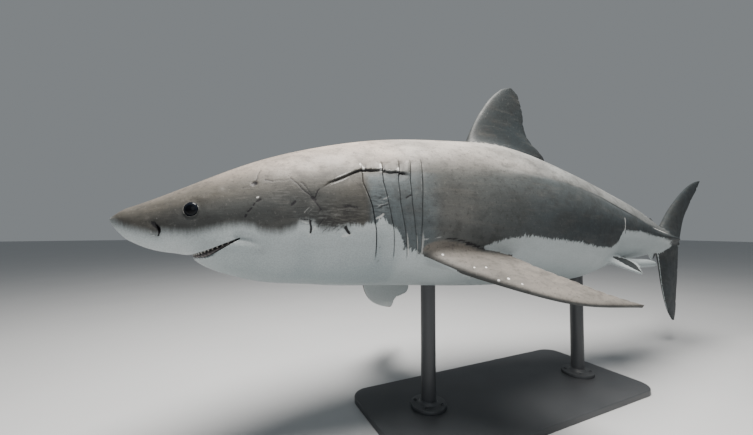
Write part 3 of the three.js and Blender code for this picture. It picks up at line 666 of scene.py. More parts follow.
UPPER_LOBE = dict(
    station=84, lean=90, t=[0, 0.2, 0.45, 0.7, 0.88, 1],
    front_s=[78.6, 83.2, 87.2, 92.9, 97.9, 101], front_out=[-0.8, 4.1, 7.6, 11.4, 13.8, 14.8],
    rear_s=[90, 91.9, 94.3, 97.4, 99.7, 101.3], rear_out=[-0.8, 4.3, 7.4, 10.6, 12.6, 14.5],
    half=[0.8, 0.14], flare=0.012, flare_reach=0.02,
    nicks=[(0.4, 0.15, 0.012), (0.62, 0.2, 0.014), (0.9, 0.5, 0.015)])
LOWER_LOBE = dict(
    station=84, lean=-90, t=[0, 0.2, 0.45, 0.7, 0.88, 1],
    front_s=[78.6, 81.1, 82.4, 84.1, 86, 87.9], front_out=[-1.2, 4.4, 7.9, 11.1, 13.3, 14.6],
    rear_s=[90, 89.9, 89.7, 89.3, 89.15, 88.6], rear_out=[-1.2, 2.8, 6.6, 10.4, 13, 14.5],
    half=[0.8, 0.14], flare=0.012, flare_reach=0.02,
    nicks=[(0.35, 0.15, 0.014), (0.6, 0.12, 0.01), (0.75, 0.15, 0.012)])
PELVIC = dict(
    station=60, lean=-42, root=(3.5, -4.75), t=[0, 0.35, 0.7, 1],
    front_s=[55.6, 58, 60.6, 62.7], front_out=[-1.3, 0.3, 1.6, 2.4],
    rear_s=[60.8, 64.3, 64, 63.1], rear_out=[-1.3, 0.1, 1.3, 2.35],
    half=[0.5, 0.1], flare=0.008, flare_reach=0.015,
    nicks=[(0.5, 0.25, 0.03), (0.72, 0.3, 0.03), (0.86, 0.2, 0.02)])

fins = {}
for name, fin, side, rows, count in (
        ("dorsal_first", FIRST_DORSAL, 1, 72, 26), ("dorsal_second", SECOND_DORSAL, 1, 14, 14),
        ("anal", ANAL, 1, 14, 14), ("lobe_upper", UPPER_LOBE, 1, 70, 22),
        ("lobe_lower", LOWER_LOBE, 1, 56, 22), ("pelvic_left", PELVIC, 1, 30, 16),
        ("pelvic_right", PELVIC, -1, 30, 16)):
    add_fin(name, *blade(fin, side, root_to_tip(rows), count))
print("upright and pelvic fins:", list(fins))

# %% [markdown]
# The pectoral fins are long and droop along a bent line while they twist, so each slice is turned
# about a hinge line near its front. The left one is held out and back, the right one forward.

# %% Pectoral fins
PECTORAL = dict(
    station=29, root=(26.2, 6.5, -3.95), span=15.2, hinge=2.0, inside=(-0.25, -0.12),
    front_t=[0, 0.15, 0.4, 0.65, 0.85, 1], front=[0, 1, 3.3, 5.9, 9.3, 13.8],
    rear_t=[0, 0.13, 0.4, 0.65, 0.85, 1], rear=[6.8, 9.4, 10, 10.9, 12.3, 14.1],
    half=[0.78, 0.14], flare=0.014, flare_reach=0.022,
    nicks=[(0.3, 0.1, 0.01), (0.42, 0.16, 0.012), (0.5, 0.1, 0.008), (0.57, 0.2, 0.01),
           (0.64, 0.12, 0.008), (0.7, 0.2, 0.01), (0.77, 0.16, 0.008), (0.83, 0.2, 0.008),
           (0.89, 0.14, 0.008), (0.94, 0.12, 0.006)])
LEFT_SET = dict(sweep=18.3, droop=[20.3, 25.5, -19.6], twist=[1.4, 34.5, -23.2])
RIGHT_SET = dict(sweep=-24.5, droop=[28, 18, 30], twist=[-45, -25, 60])
FOLD = 60  # steps of the drooping line


def series(t, terms):
    """Degrees that start, change and curl along the fin, as radians."""
    start, change, curl = terms
    return np.radians(start + change * t + curl * t * t)


def pectoral(fin, pose, side, reach, count):
    """Adding up the droop gives the line that the slices hang on; inside the body it runs straight."""
    droop = series((np.arange(FOLD) + 0.5) / FOLD, pose["droop"])
    steps = np.stack([np.cos(droop), -np.sin(droop)], -1) * fin["span"] / FOLD
    run = np.vstack([[0, 0], np.cumsum(steps, 0)])
    t, c, face = blade_grid(reach, count)
    ahead = np.maximum(t, 0)
    out, high = (np.where(t < 0, line[1] * t * FOLD, np.interp(ahead, np.arange(FOLD + 1) / FOLD, line))
                 for line in run.T)
    front = curve_through(fin["front_t"], fin["front"])(ahead)
    rear = curve_through(fin["rear_t"], fin["rear"])(ahead) - nicked(fin, ahead) * c**3
    droop, twist = series(ahead, pose["droop"]), series(ahead, pose["twist"])
    sweep = math.radians(pose["sweep"])
    root_s, root_l, root_u = fin["root"]

    def spot(h):
        back = front + (rear - front) * c - fin["hinge"]
        lift = back * np.sin(twist) + h / PC * np.cos(twist)
        along = fin["hinge"] + back * np.cos(twist) - h / PC * np.sin(twist)
        away = out + lift * np.sin(droop)
        s = root_s + along * math.cos(sweep) + away * math.sin(sweep)
        l = root_l - along * math.sin(sweep) + away * math.cos(sweep)
        return place(fin["station"], s, side * l, root_u + high + lift * np.cos(droop))

    half = thickness(fin, ahead, c, spot(0 * t))
    return spot(face * half), ahead, c, face


reach = np.concatenate([PECTORAL["inside"], root_to_tip(86)])
for name, pose, side in (("left", LEFT_SET, 1), ("right", RIGHT_SET, -1)):
    add_fin(f"pectoral_{name}", *pectoral(PECTORAL, pose, side, reach, 24))
print("pectoral fins, length along the droop:", round(PECTORAL["span"] * PC, 3), "m")

# %% [markdown]
# The claspers of a grown male are tapered rods under the pelvic fins: circles carried along a spline.

# %% Claspers
CLASPER = dict(station=66, along=[0, 0.3, 0.6, 0.85, 1], s=[60.4, 64.6, 68.2, 70.6, 71.9],
               l=[1.7, 2.8, 3, 3, 2.95], u=[-4.6, -4.95, -4.85, -4.85, -4.95],
               radius=[0.7, 0.66, 0.62, 0.42, 0.12])


def circle(count):
    """Angles once round, the last a step short of the first."""
    return np.linspace(0, 2 * np.pi, count, endpoint=False)


def clasper(side):
    """Circles along the spline, with a shallow groove that winds along the inner side."""
    t, turn = grid(np.linspace(0, 1, 40), circle(24))
    s, l, u, r = (curve_through(CLASPER["along"], CLASPER[k])(t) for k in ("s", "l", "u", "radius"))
    groove = hump((turn - 2.4 - 1.2 * t + np.pi) % (2 * np.pi) - np.pi, 0.25)
    r = r * (1 - 0.16 * groove * window(t, 0, 0.3, 1, 0.1)) * (0.35 + 0.65 * round_off((1 - t) / 0.12))
    return place(CLASPER["station"], s, side * (l + r * np.cos(turn)), u + r * np.sin(turn)), t, 0 * t, 0 * t


for name, side in (("left", 1), ("right", -1)):
    add_fin(f"clasper_{name}", *clasper(side))
print("fins:", list(fins))

# %% [markdown]
# ## One skin
# A union makes body and fins one closed mesh. Blender's exact "manifold" solver keeps the numbers
# that we stored on the vertices. The vertices that it adds along the joins carry zeros, so we can
# find them, fill in their numbers from their neighbours, and round the joins off by averaging.

# %% Union and rounding
CARRIED = ["kind", "t", "c", "face", "dark", "light"]


def combined(name, target, others, operation):
    """The target joined with, or cut by, each of the others, as one new object."""
    for other in others:
        modifier = target.modifiers.new("join", "BOOLEAN")
        modifier.operation, modifier.solver, modifier.object = operation, "MANIFOLD", other
    graph = bpy.context.evaluated_depsgraph_get()
    piece = add_object(name, bpy.data.meshes.new_from_object(target.evaluated_get(graph)))
    for old in (target, *others):
        bpy.data.objects.remove(old)
    return piece


def carried_numbers(mesh):
    """The numbers of every vertex, one column for each name."""
    return np.hstack([read(mesh.attributes[name].data, "value", 1) for name in CARRIED])


def edges_of(mesh):
    """The two vertices of every edge."""
    return read(mesh.edges, "vertices", 2, int)


def neighbour_mean(pairs, value, weight):
    """Weighted mean of each vertex's neighbours, the edges taken both ways, and their summed weight."""
    total, share = np.zeros(value.shape), np.zeros(len(value))
    for here, there in (pairs.T, pairs.T[::-1]):
        share += np.bincount(here, weight[there], len(value))
        for k, column in enumerate(value.T):
            total[:, k] += np.bincount(here, column[there] * weight[there], len(value))
    return total / np.maximum(share, 1e-9)[:, None], share


def averaged(pairs, value, weight, rounds):
    """Each row of values moved again and again, by its weight, towards the mean of its neighbours."""
    for _ in range(rounds):
        mean, _ = neighbour_mean(pairs, value, np.ones(len(value)))
        value = value + weight[:, None] * (mean - value)
    return value


def mend_numbers(mesh):
    """Gives the vertices along a join the mean of the numbers round them, and says which they are."""
    pairs, table = edges_of(mesh), carried_numbers(mesh)
    known = table[:, 0] >= BODY / 2
    new = np.flatnonzero(~known)
    for _ in range(4):
        mean, share = neighbour_mean(pairs, table, known.astype(float))
        fill = ~known & (share > 0)
        table[fill] = mean[fill].astype(np.float32)
        known |= fill
    for name, column in zip(CARRIED, table.T):
        keep(mesh, name, column)
    return new


def distance_to(points, targets, limit):
    """Distance from each point to the nearest target, up to a limit, box by box."""
    d = np.full(len(points), limit)
    for start in range(0, len(targets), 64):
        some = targets[start:start + 64]
        near = np.all((points > some.min(0) - limit) & (points < some.max(0) + limit), axis=1)
        if near.any():
            gap = np.linalg.norm(points[near][:, None] - some[None], axis=2).min(1)
            d[near] = np.minimum(d[near], gap)
    return d


def round_joins(mesh, new, reach, rounds):
    """Averages the places of the vertices near a join, most at the join itself."""
    at = read(mesh.vertices, "co", 3)
    weight = 0.6 * hump(distance_to(at, at[new], reach * 2.5), reach)
    weight[weight < 0.6 * math.exp(-4)] = 0
    mesh.vertices.foreach_set("co", averaged(edges_of(mesh), at, weight, rounds).ravel())
    mesh.update()


skin = combined("shark_skin", skin, list(fins.values()), "UNION")
joins = mend_numbers(skin.data)
round_joins(skin.data, joins, 0.016, 12)
print("one skin:", len(skin.data.vertices), "vertices, of which", len(joins), "along joins")

# %% [markdown]
# ## Eyes and nostrils
# Each is cut out of the skin with a closed shape. The eye sits in a shallow round socket with a thin
# lid round it. The nostril is a comma with a small swelling beside it.

# %% Places on the head
EYE = dict(s=6, u=0.58, radius=0.024, flat=0.013, sunk=0.006, lid_at=0.0227, lid=0.0011, lid_above=0.0004)
SOCKET = [(-0.014, 0.0205), (-0.004, 0.0212), (0, 0.0216), (0.004, 0.0222), (0.03, 0.026)]  # height, radius
NOSTRIL_WIDE, NOSTRIL_DEEP = 0.0034, 0.010
FLAP = dict(line=[(3.05, -22), (3.42, -25)], half_axes=(0.009, 0.0032, 0.0028))


def angle_at(s, u, side):
    """The angle round the section at which the skin has height u: the oval, solved for the sine."""
    middle, above, below = reaches(s)
    share = np.abs(u - middle) / np.where(u > middle, above, below)
    turn = np.arcsin(np.clip(share, 0, 1) ** (squareness(s) / 2) * np.sign(u - middle))
    return turn if side > 0 else np.pi - turn


def unit_across(v, axis):
    """The part of v square to the axis, made 1 long."""
    return unit(v - (v @ axis)[..., None] * axis)


def ellipse(turn, a, b):
    """Points at these angles on the ellipse whose half axes are the vectors a and b."""
    return np.cos(turn)[..., None] * a + np.sin(turn)[..., None] * b


def eye_axes(side):
    """Centre on the skin, direction across the head, up, and out of the head."""
    turn = angle_at(EYE["s"], EYE["u"], side)
    centre, ahead = skin_point(np.array([EYE["s"], EYE["s"] - 0.4]), turn)
    across = unit(centre - ahead)
    out = unit_across(station(EYE["s"])[2] * side, across)
    return centre, across, np.cross(out, across), out


def socket(side):
    """A cup round the eye's axis: circles that widen outward, so that the lid's edge is eased."""
    centre, across, up, out = eye_axes(side)
    high, radius = np.array(SOCKET).T[:, :, None, None]
    return centre + radius * ellipse(circle(56), across, up) + high * out


def lid(side):
    """A thin ring that follows the skin round the eye: small circles carried along a big one."""
    centre, _, _, out = eye_axes(side)
    turn, wide = circle(56), EYE["lid_at"] / PC
    s, u = EYE["s"] + wide * np.cos(turn), EYE["u"] + wide * np.sin(turn)
    line = skin_point(s, angle_at(s, u, side))
    away = unit_across(line - centre, out)
    size = EYE["lid"] + EYE["lid_above"] * np.sin(turn)[:, None, None]
    return line[:, None] + size * ellipse(circle(10), away[:, None], out)


def ellipsoid(pole, a, b, rows, count, gap):
    """Circles of latitude round the pole, and the sine of each point's latitude angle. A small gap
    keeps the first and last circle open."""
    t, turn = grid(np.linspace(gap, np.pi - gap, rows), circle(count))
    return np.cos(t)[..., None] * pole + np.sin(t)[..., None] * ellipse(turn, a, b), np.sin(t)


def nostril(side):
    """A narrow oval carried along the comma, deeper than wide, closing to a point at both ends."""
    share = np.linspace(0, 1, 26)
    s, turn = (curve_through(np.linspace(0, 1, len(NOSTRIL)), row)(share) for row in np.array(NOSTRIL).T)
    turn = np.radians(turn if side > 0 else 180 - turn)
    centre = skin_point(s, turn, -0.001)
    outer = unit(skin_point(s, turn, 0.01) - centre)
    across = unit(np.cross(np.gradient(centre, axis=0), outer))
    size = np.sqrt(np.clip(1 - (2 * share - 1) ** 2, 0.003, 1)) * (0.55 + 0.75 * hump(share - 0.4, 0.25))
    oval = ellipse(circle(12), NOSTRIL_WIDE * across[:, None], NOSTRIL_DEEP * outer[:, None])
    return centre[:, None] + size[:, None, None] * oval


def nostril_flap(side):
    """A small swelling beside the lower end of the nostril: an ellipsoid half sunk in the skin."""
    a, b = on_skin(FLAP["line"], side)
    along = unit(b - a)
    out = unit_across(station(3.3)[2] * side, along)
    long, wide, high = FLAP["half_axes"]
    shape, _ = ellipsoid(long * along, wide * np.cross(out, along), high * out, 14, 16, 0.15)
    return (a + b) / 2 + shape


print("centre of the left eye:", eye_axes(1)[0].round(3))

# %% [markdown]
# ## The mouth
# The mouth's arch is where a slanting plane meets the head. We find it station by station: the
# oval gives the half width at the plane's height. The slot is a wedge carried round that arch.

# %% Mouth
MOUTH_STATION = 7.7  # its straight frame holds the mouth's plane
mouth_middle = place(MOUTH_STATION, MOUTH_CORNER[0], 0, MOUTH_CORNER[1])
mouth_up = unit(np.cross(station(MOUTH_STATION)[2],
                         mouth_middle - place(MOUTH_STATION, MOUTH_FRONT[0], 0, MOUTH_FRONT[1])))
mouth_up = mouth_up * np.sign(mouth_up[2])


def under_middle(s):
    """How far down its section the mouth's plane lies: 1 is the keel."""
    middle, _, below = reaches(s)
    return (middle - lip_height(s)) / below


trial = np.linspace(5.7, 6.4, 400)
lips_start = trial[np.argmax(under_middle(trial) < 1)]


def arch(q):
    """Points of the lips from the left corner (1) round the front (0) to the right corner (-1)."""
    s = lips_start + (MOUTH_CORNER[0] - lips_start) * q**2
    power = squareness(s)
    l = half_width(s) * (1 - np.clip(under_middle(s), 0, 1) ** power) ** (1 / power) * np.sign(q)
    return place(MOUTH_STATION, s, l, lip_height(s))


def arch_frame(q):
    """Points of the arch and, in the mouth's plane, the direction away from the mouth."""
    at = arch(q)
    away = unit(np.cross(arch(q + 1e-3) - arch(q - 1e-3), mouth_up))
    return at, away * np.sign(((at - mouth_middle) * away).sum(1, keepdims=True))


def round_the_arch(q, out, high):
    """A loop at each step of the arch, its points so far outside the lips and so high."""
    at, away = arch_frame(q)
    return at[:, None] + out[..., None] * away[:, None] + high[..., None] * mouth_up


def slot_heights(q):
    """How far the slot reaches above and below the plane: narrow in front, widest at the side."""
    close = np.sqrt(np.clip(1 - np.abs(q) ** 5, 0, 1))
    return 0.0025 * close, (0.006 + 0.012 * hump(np.abs(q) - 0.55, 0.27)) * close


def mouth_slot():
    """Six corners at each step: out through the lips, and back into the head."""
    q = np.linspace(-0.985, 0.985, 90)
    above, below = slot_heights(q)
    deep = 0.032 * np.sqrt(np.clip(1 - q**6, 0.05, 1))
    lips, clear = 0 * q + 0.004, 0 * q + 0.03
    out = np.stack([clear, lips, -deep, -deep, lips, clear], 1)
    high = np.stack([1.6 * above, above, 1.2 * above, -0.7 * below, -below, -1.1 * below], 1)
    return round_the_arch(q, out, high)


def closed_ring(points):
    """Vertices and faces of a tube whose last loop meets its first."""
    here = np.arange(points.shape[0] * points.shape[1]).reshape(points.shape[:2])
    after, below = np.roll(here, -1, axis=1), np.roll(here, -1, axis=0)
    quads = np.stack([here, after, np.roll(after, -1, axis=0), below], -1)
    return points.reshape(-1, 3), quads.reshape(-1, 4).tolist()


# the walls of the cuts are dark: painted shade inside the mouth, the eye sockets and the nostrils
cuts, rises = [make_mesh("mouth_slot", *closed_tube(mouth_slot()), kind=CUT, dark=0.9)], []
for side in (1, -1):
    cuts += [make_mesh("socket", *closed_tube(socket(side)), kind=CUT, dark=0.95),
             make_mesh("nostril", *closed_tube(nostril(side)), kind=CUT, dark=1)]
    rises += [make_mesh("lid", *closed_ring(lid(side)), kind=LID, dark=0),
              make_mesh("flap", *closed_tube(nostril_flap(side)), kind=BODY, dark=0)]
skin = combined("shark_skin", skin, rises, "UNION")
mend_numbers(skin.data)
skin = combined("shark_skin", skin, cuts, "DIFFERENCE")
round_joins(skin.data, mend_numbers(skin.data), 0.0022, 4)
skin.data.calc_loop_triangles()
print("skin:", len(skin.data.vertices), "vertices,", len(skin.data.loop_triangles), "triangles")

# %% [markdown]
# ## Numbers that the finish reads
# Every marking is a formula of the place on the shark. We keep the place of each vertex (station, height,
# left), how high it lies over the line between grey and white, and how far it is dark, pale (scars, with
# painted shade and highlights among them) or in the painted sunlight on the back. The material turns these
# smooth numbers into sharp, ragged markings.

# %% Numbers on the body
WHITE_LINE = [  # station, and degrees up from the side, of the line between grey and white
    (0, -2), (0.5, -6), (1.2, -16), (2.5, -17), (3, -20), (3.5, -24), (3.8, -13), (4.5, -15), (5.8, -16),
    (6.5, -11), (7.5, -7), (8.8, -4), (9.8, -4), (10.5, -5), (11.2, -9), (12.5, -10), (13.8, -7), (14.2, -3),
    (15.2, -3), (16, -8), (17.2, -8), (18.2, -6), (19.5, -6), (20.8, -5), (21.5, -1), (22.2, -7), (23, -9),
    (23.5, -15), (24, -24), (25.8, -27), (29, -35), (32.6, -27), (33.4, -22), (34.6, -19), (36, -16),
    (38.8, -14), (42, -15), (45.8, -17), (49.8, -19), (54, -23), (57, -25), (58.5, -23), (59.5, -17),
    (60, -8), (60.6, -3), (61.8, -5), (63.8, -4), (66.5, -2), (69.8, -4), (73.8, -5), (76.2, -7), (80, -15),
    (85, -40), (91, -70)]
SUNLIT_BACK = [  # where the painted sunlight on the back begins, as a share of the way up; how softly; and how pale it gets
    [0, 6, 10, 14, 18, 24, 30, 33, 36, 40, 48, 55, 61, 65, 69, 75, 90],
    [0.62, 0.6, 0.54, 0.46, 0.5, 0.48, 0.36, 0.38, 0.42, 0.46, 0.53, 0.53, 0.44, 0.39, 0.3, 0.2, 0.2],
    [0.5, 0.45, 0.4, 0.35, 0.3, 0.3, 0.45, 0.4, 0.25, 0.12, 0.05, 0.05, 0.05, 0.06, 0.08, 0.3, 0.4],
    [0.2, 0.3, 0.6, 0.9, 1, 1, 1, 0.95, 0.9, 0.85, 0.75, 0.7, 0.65, 0.6, 0.55, 0.4, 0.2]]

at = read(skin.data.vertices, "co", 3)
s, l, u = body_place(at)
kind, t, c, face, dark, light = carried_numbers(skin.data).T
on_fin = (kind > (BODY + FIN) / 2) & (kind < (FIN + CUT) / 2)
middle, above, below = reaches(np.clip(s, 0.1, 90.9))
share_up = (u - middle) / np.where(u > middle, above, below)
turn = np.degrees(np.arcsin(np.clip(share_up, -1, 1)))


def spot(s_middle, s_width, turn_middle, turn_width):
    """A soft oval patch on the flank, 1 in its middle."""
    return hump(s - s_middle, s_width) * hump(turn - turn_middle, turn_width)


line_s, line_turn = np.array(WHITE_LINE, float).T
over = u - np.interp(s, line_s, section(line_s, np.radians(line_turn))[1])
begins, soft, most = (np.interp(s, SUNLIT_BACK[0], row) for row in SUNLIT_BACK[1:])
# painted sunlight on the back, and a small painted pool of pale light behind the gills
back = smooth((share_up - begins) / soft) * most + 0.16 * spot(28.8, 3, -2, 16) + 0.05 * spot(12, 2, -10, 8)
gills = window(s, 19.9, 0.8, 29.5, 3.5) * window(turn, -34, 8, 31, 6)
# shade darkens the tone: partly the body's own darker rear, partly painted shade low on the rear flank and on
# the sides of the head
shade = np.maximum.reduce([smooth((s - 28) / 24) * (0.25 + 0.75 * smooth((0.5 - share_up) / 0.6)),
                           0.35 * spot(17.5, 3.5, 4, 14),
                           0.58 * window(s, 1, 5, 20, 5) * smooth((34 - turn) / 22)])
shade[gills > 0.5] = 0
# the last term tints that painted pool of pale light behind the gills bluish
cool = np.maximum.reduce([0.45 * smooth((s - 22) / 4) + 0.5 * smooth((s - 30) / 20), gills,
                          0.5 * spot(28.5, 3.5, -6, 15)])
hatch = spot(17.2, 2.6, -1, 10) + 0.7 * spot(21.3, 1.2, 7, 9) + 0.5 * spot(13.5, 2, 22, 9)

print("grey over white on", round(float((over > 0).mean()), 2), "of the vertices of body and fins")

# %% [markdown]
# On the fins the share back `c`, the share out `t` and the face say where a vertex is. The tail and
# the first dorsal fin are grey, the pectoral fins grey above and white below with a dark tip.

# %% Numbers on the fins
upright = on_fin & (np.abs(l) < 2.2) & (s > 34)
dorsal, lobes = upright & (s < 60), upright & (s > 78)
pectorals = on_fin & (s < 50) & (np.abs(l) > 3.5) & (u < 0)
pelvics = on_fin & (s > 53) & (s < 66) & (u < -3) & ((c > 0) | (face != 0))
claspers = on_fin & (s > 60) & (s < 73) & (u < -3.5) & (face == 0) & (c == 0)

# grey runs down over the left pectoral's root, to a line that curves from station to height, with the painted
# sunlight of the fin's upper face
ROOT_TOP = [(25.8, -3.4), (26.2, -2.9), (26.8, -2.6), (27.7, -2.5), (28.6, -2.5), (30.1, -2.7), (31.4, -3),
            (32.8, -3.45), (33.6, -3.7)]
shoulder = smooth((np.interp(s, *np.array(ROOT_TOP).T) - u) / 0.12) * window(s, 25.7, 0.3, 33.9, 0.4)
shoulder *= smooth((u + 3.55 + 0.41 * (s - 25.8)) / 0.15) * (~on_fin & (l > 0))
over = np.where(shoulder > 0.01, np.maximum(over, 3 * shoulder), over)
back, shade, cool = (old + shoulder * (new - old) for old, new in ((back, 0.32), (shade, 0), (cool, 0.05)))

over = np.where(upright, np.where((u < 0) & (s < 80), -2, 3), over)
over = np.where(lobes & (u < 0), 3 * smooth(c / 0.015) - 0.35 + 3 * (t > 0.85), over)
# a pectoral is grey above and white below with a dark tip; the under face is set deep in the white, where the
# white is darkest, as painted shade
by_face = 4.5 * face - 1.5 + 9 * smooth((t - 0.86) / 0.06) * (face < 0)
over = np.where(pectorals, np.maximum(by_face, 7 * hump(c, 0.035) * smooth((t - 0.10) / 0.35) - 2), over)
patch = 12 * np.minimum.reduce([c - 0.22, 0.78 - c, 0.7 * (t - 0.22)])
over = np.where(pelvics, np.where(face > 0, patch, -2), np.where(claspers, -3, over))
# the pectorals' upper faces get painted sunlight, the upright fins none
back = np.where(upright, 0, np.where(pectorals, 0.32 * smooth((c + 0.03) / 0.10) * (face > 0), back))
shade = np.where(upright, 0.85, np.where(pectorals, 0.12 + 0.4 * hump(c, 0.03), shade))
cool = np.where(upright, 0.9, np.where(pectorals, 0.20, cool))
# among these, the first dorsal fin is darker near its base, as painted shade
dark = np.maximum.reduce([dark, pectorals * (0.12 * hump(c, 0.05) + 0.30 * hump(c - 1, 0.02)),
                          upright * 0.40 * hump(c - 1, 0.05), dorsal * 0.35 * smooth((0.24 - t) / 0.16),
                          dorsal * 0.55 * smooth((c - 0.6) / 0.4) * smooth((0.3 - t) / 0.15)])
light = np.where(pectorals, 0.35 * hump(c - 1, 0.012) * smooth((t - 0.2) / 0.2), light)
light = np.where(kind > (CUT + LID) / 2, 0.20, light)

# where a fin meets the body the numbers are averaged, so that no line shows
table = np.stack([over, back, shade, cool, dark, light], -1)
rooted = on_fin & (outside(np.clip(s, 1, 90), l, u) < 0.004)
near_root = 0.5 * hump(distance_to(at, at[rooted], 0.04), 0.014)
table = averaged(edges_of(skin.data), table, near_root, 5)
for name, value in zip(("over", "back", "shade", "cool", "dark", "light"), table.T):
    keep(skin.data, name, value)
keep(skin.data, "hatch", np.where(on_fin, 0, hatch))
keep(skin.data, "speckled", pectorals * hump(c - 0.14, 0.13) * hump(t - 0.3, 0.25) * (face > 0))
layer = skin.data.attributes.new("place", "FLOAT_VECTOR", "POINT")
layer.data.foreach_set("vector", np.stack([s, u, l], -1).astype(np.float32).ravel())
print("grey over white on", round(float((over > 0).mean()), 2), "of the vertices")

# %% [markdown]
# ## Materials
# A material is a net of small steps. A few helpers keep it readable: each makes one node and takes
# numbers or the results of other nodes.

# %% Node helpers
class Net:
    """One material's nodes. Each call makes a node, sets or links its inputs, and gives its result."""

    def __init__(self, name):
        self.material = bpy.data.materials.new(name)
        self.material.use_nodes = True
        self.tree = self.material.node_tree
        self.tree.nodes.clear()
        self.room = self.node("ShaderNodeTexCoord", result="Object")

    def node(self, kind, inputs=(), result=0, **settings):
        """A node of this kind. An input is a number or another node's result, which is linked."""
        made = self.tree.nodes.new(kind)
        for key, value in settings.items():
            setattr(made, key, value)
        for key, value in dict(inputs).items():
            if isinstance(value, bpy.types.NodeSocket):
                self.tree.links.new(value, made.inputs[key])
            else:
                made.inputs[key].default_value = value
        return made.outputs[result] if len(made.outputs) else made

    def kept(self, name, result="Fac"):
        """A number, or with "Vector" a place, that the mesh keeps on its vertices."""
        return self.node("ShaderNodeAttribute", attribute_name=name, result=result)

    def math(self, operation, a, b, clamp=False):
        return self.node("ShaderNodeMath", {0: a, 1: b}, operation=operation, use_clamp=clamp)

    def plus(self, a, b):
        return self.math("ADD", a, b)

    def times(self, a, b):
        return self.math("MULTIPLY", a, b)

    def step(self, x, start, end, low=0.0, high=1.0):
        """Low before start, high after end, an S between."""
        ends = {"From Min": start, "From Max": end, "To Min": low, "To Max": high}
        return self.node("ShaderNodeMapRange", {"Value": x, **ends}, interpolation_type="SMOOTHSTEP")

    def mix(self, share, a, b):
        a, b = ((*v, 1) if isinstance(v, tuple) else v for v in (a, b))
        return self.node("ShaderNodeMix", {0: share, 6: a, 7: b}, result=2, data_type="RGBA")

    def layers(self, tone, *rows):
        """Colours laid over the tone in turn, each as strong as a step over its pattern says."""
        for color, pattern, *step in rows:
            tone = self.mix(self.step(pattern, *step), tone, color)
        return tone

    def scaled(self, vector, *by):
        return self.node("ShaderNodeVectorMath", {0: vector, 1: by}, operation="MULTIPLY")

    def turned(self, vector, turn, *by):
        """The vector scaled and then turned about its third axis."""
        return self.node("ShaderNodeMapping", {"Vector": vector, "Rotation": (0, 0, turn), "Scale": by})

    def noise(self, vector, scale, detail=3.0, roughness=0.5):
        return self.node("ShaderNodeTexNoise", {"Vector": vector, "Scale": scale, "Detail": detail,
                                                "Roughness": roughness})

    def bump(self, height, strength, distance):
        return self.node("ShaderNodeBump", {"Strength": strength, "Distance": distance, "Height": height})

    def shader(self, color, roughness, **more):
        out = self.node("ShaderNodeBsdfPrincipled", {"Base Color": color, "Roughness": roughness, **more})
        self.node("ShaderNodeOutputMaterial", {"Surface": out})
        return self.material


print("a net's tools:", [name for name in vars(Net) if not name.startswith("_")])

# %% [markdown]
# The skin: grey-brown above and white below, with a ragged line between. The grey is mottled and streaked
# along the body, paler on the back with painted sunlight and darker low on the flank with painted shade, and
# the white is darker towards the underside with painted shade. Scars, painted shade in grooves and creases,
# and painted highlights come from the dark and pale numbers that the vertices keep. Compared with a fine
# noise, a smooth number gets a torn, natural edge.

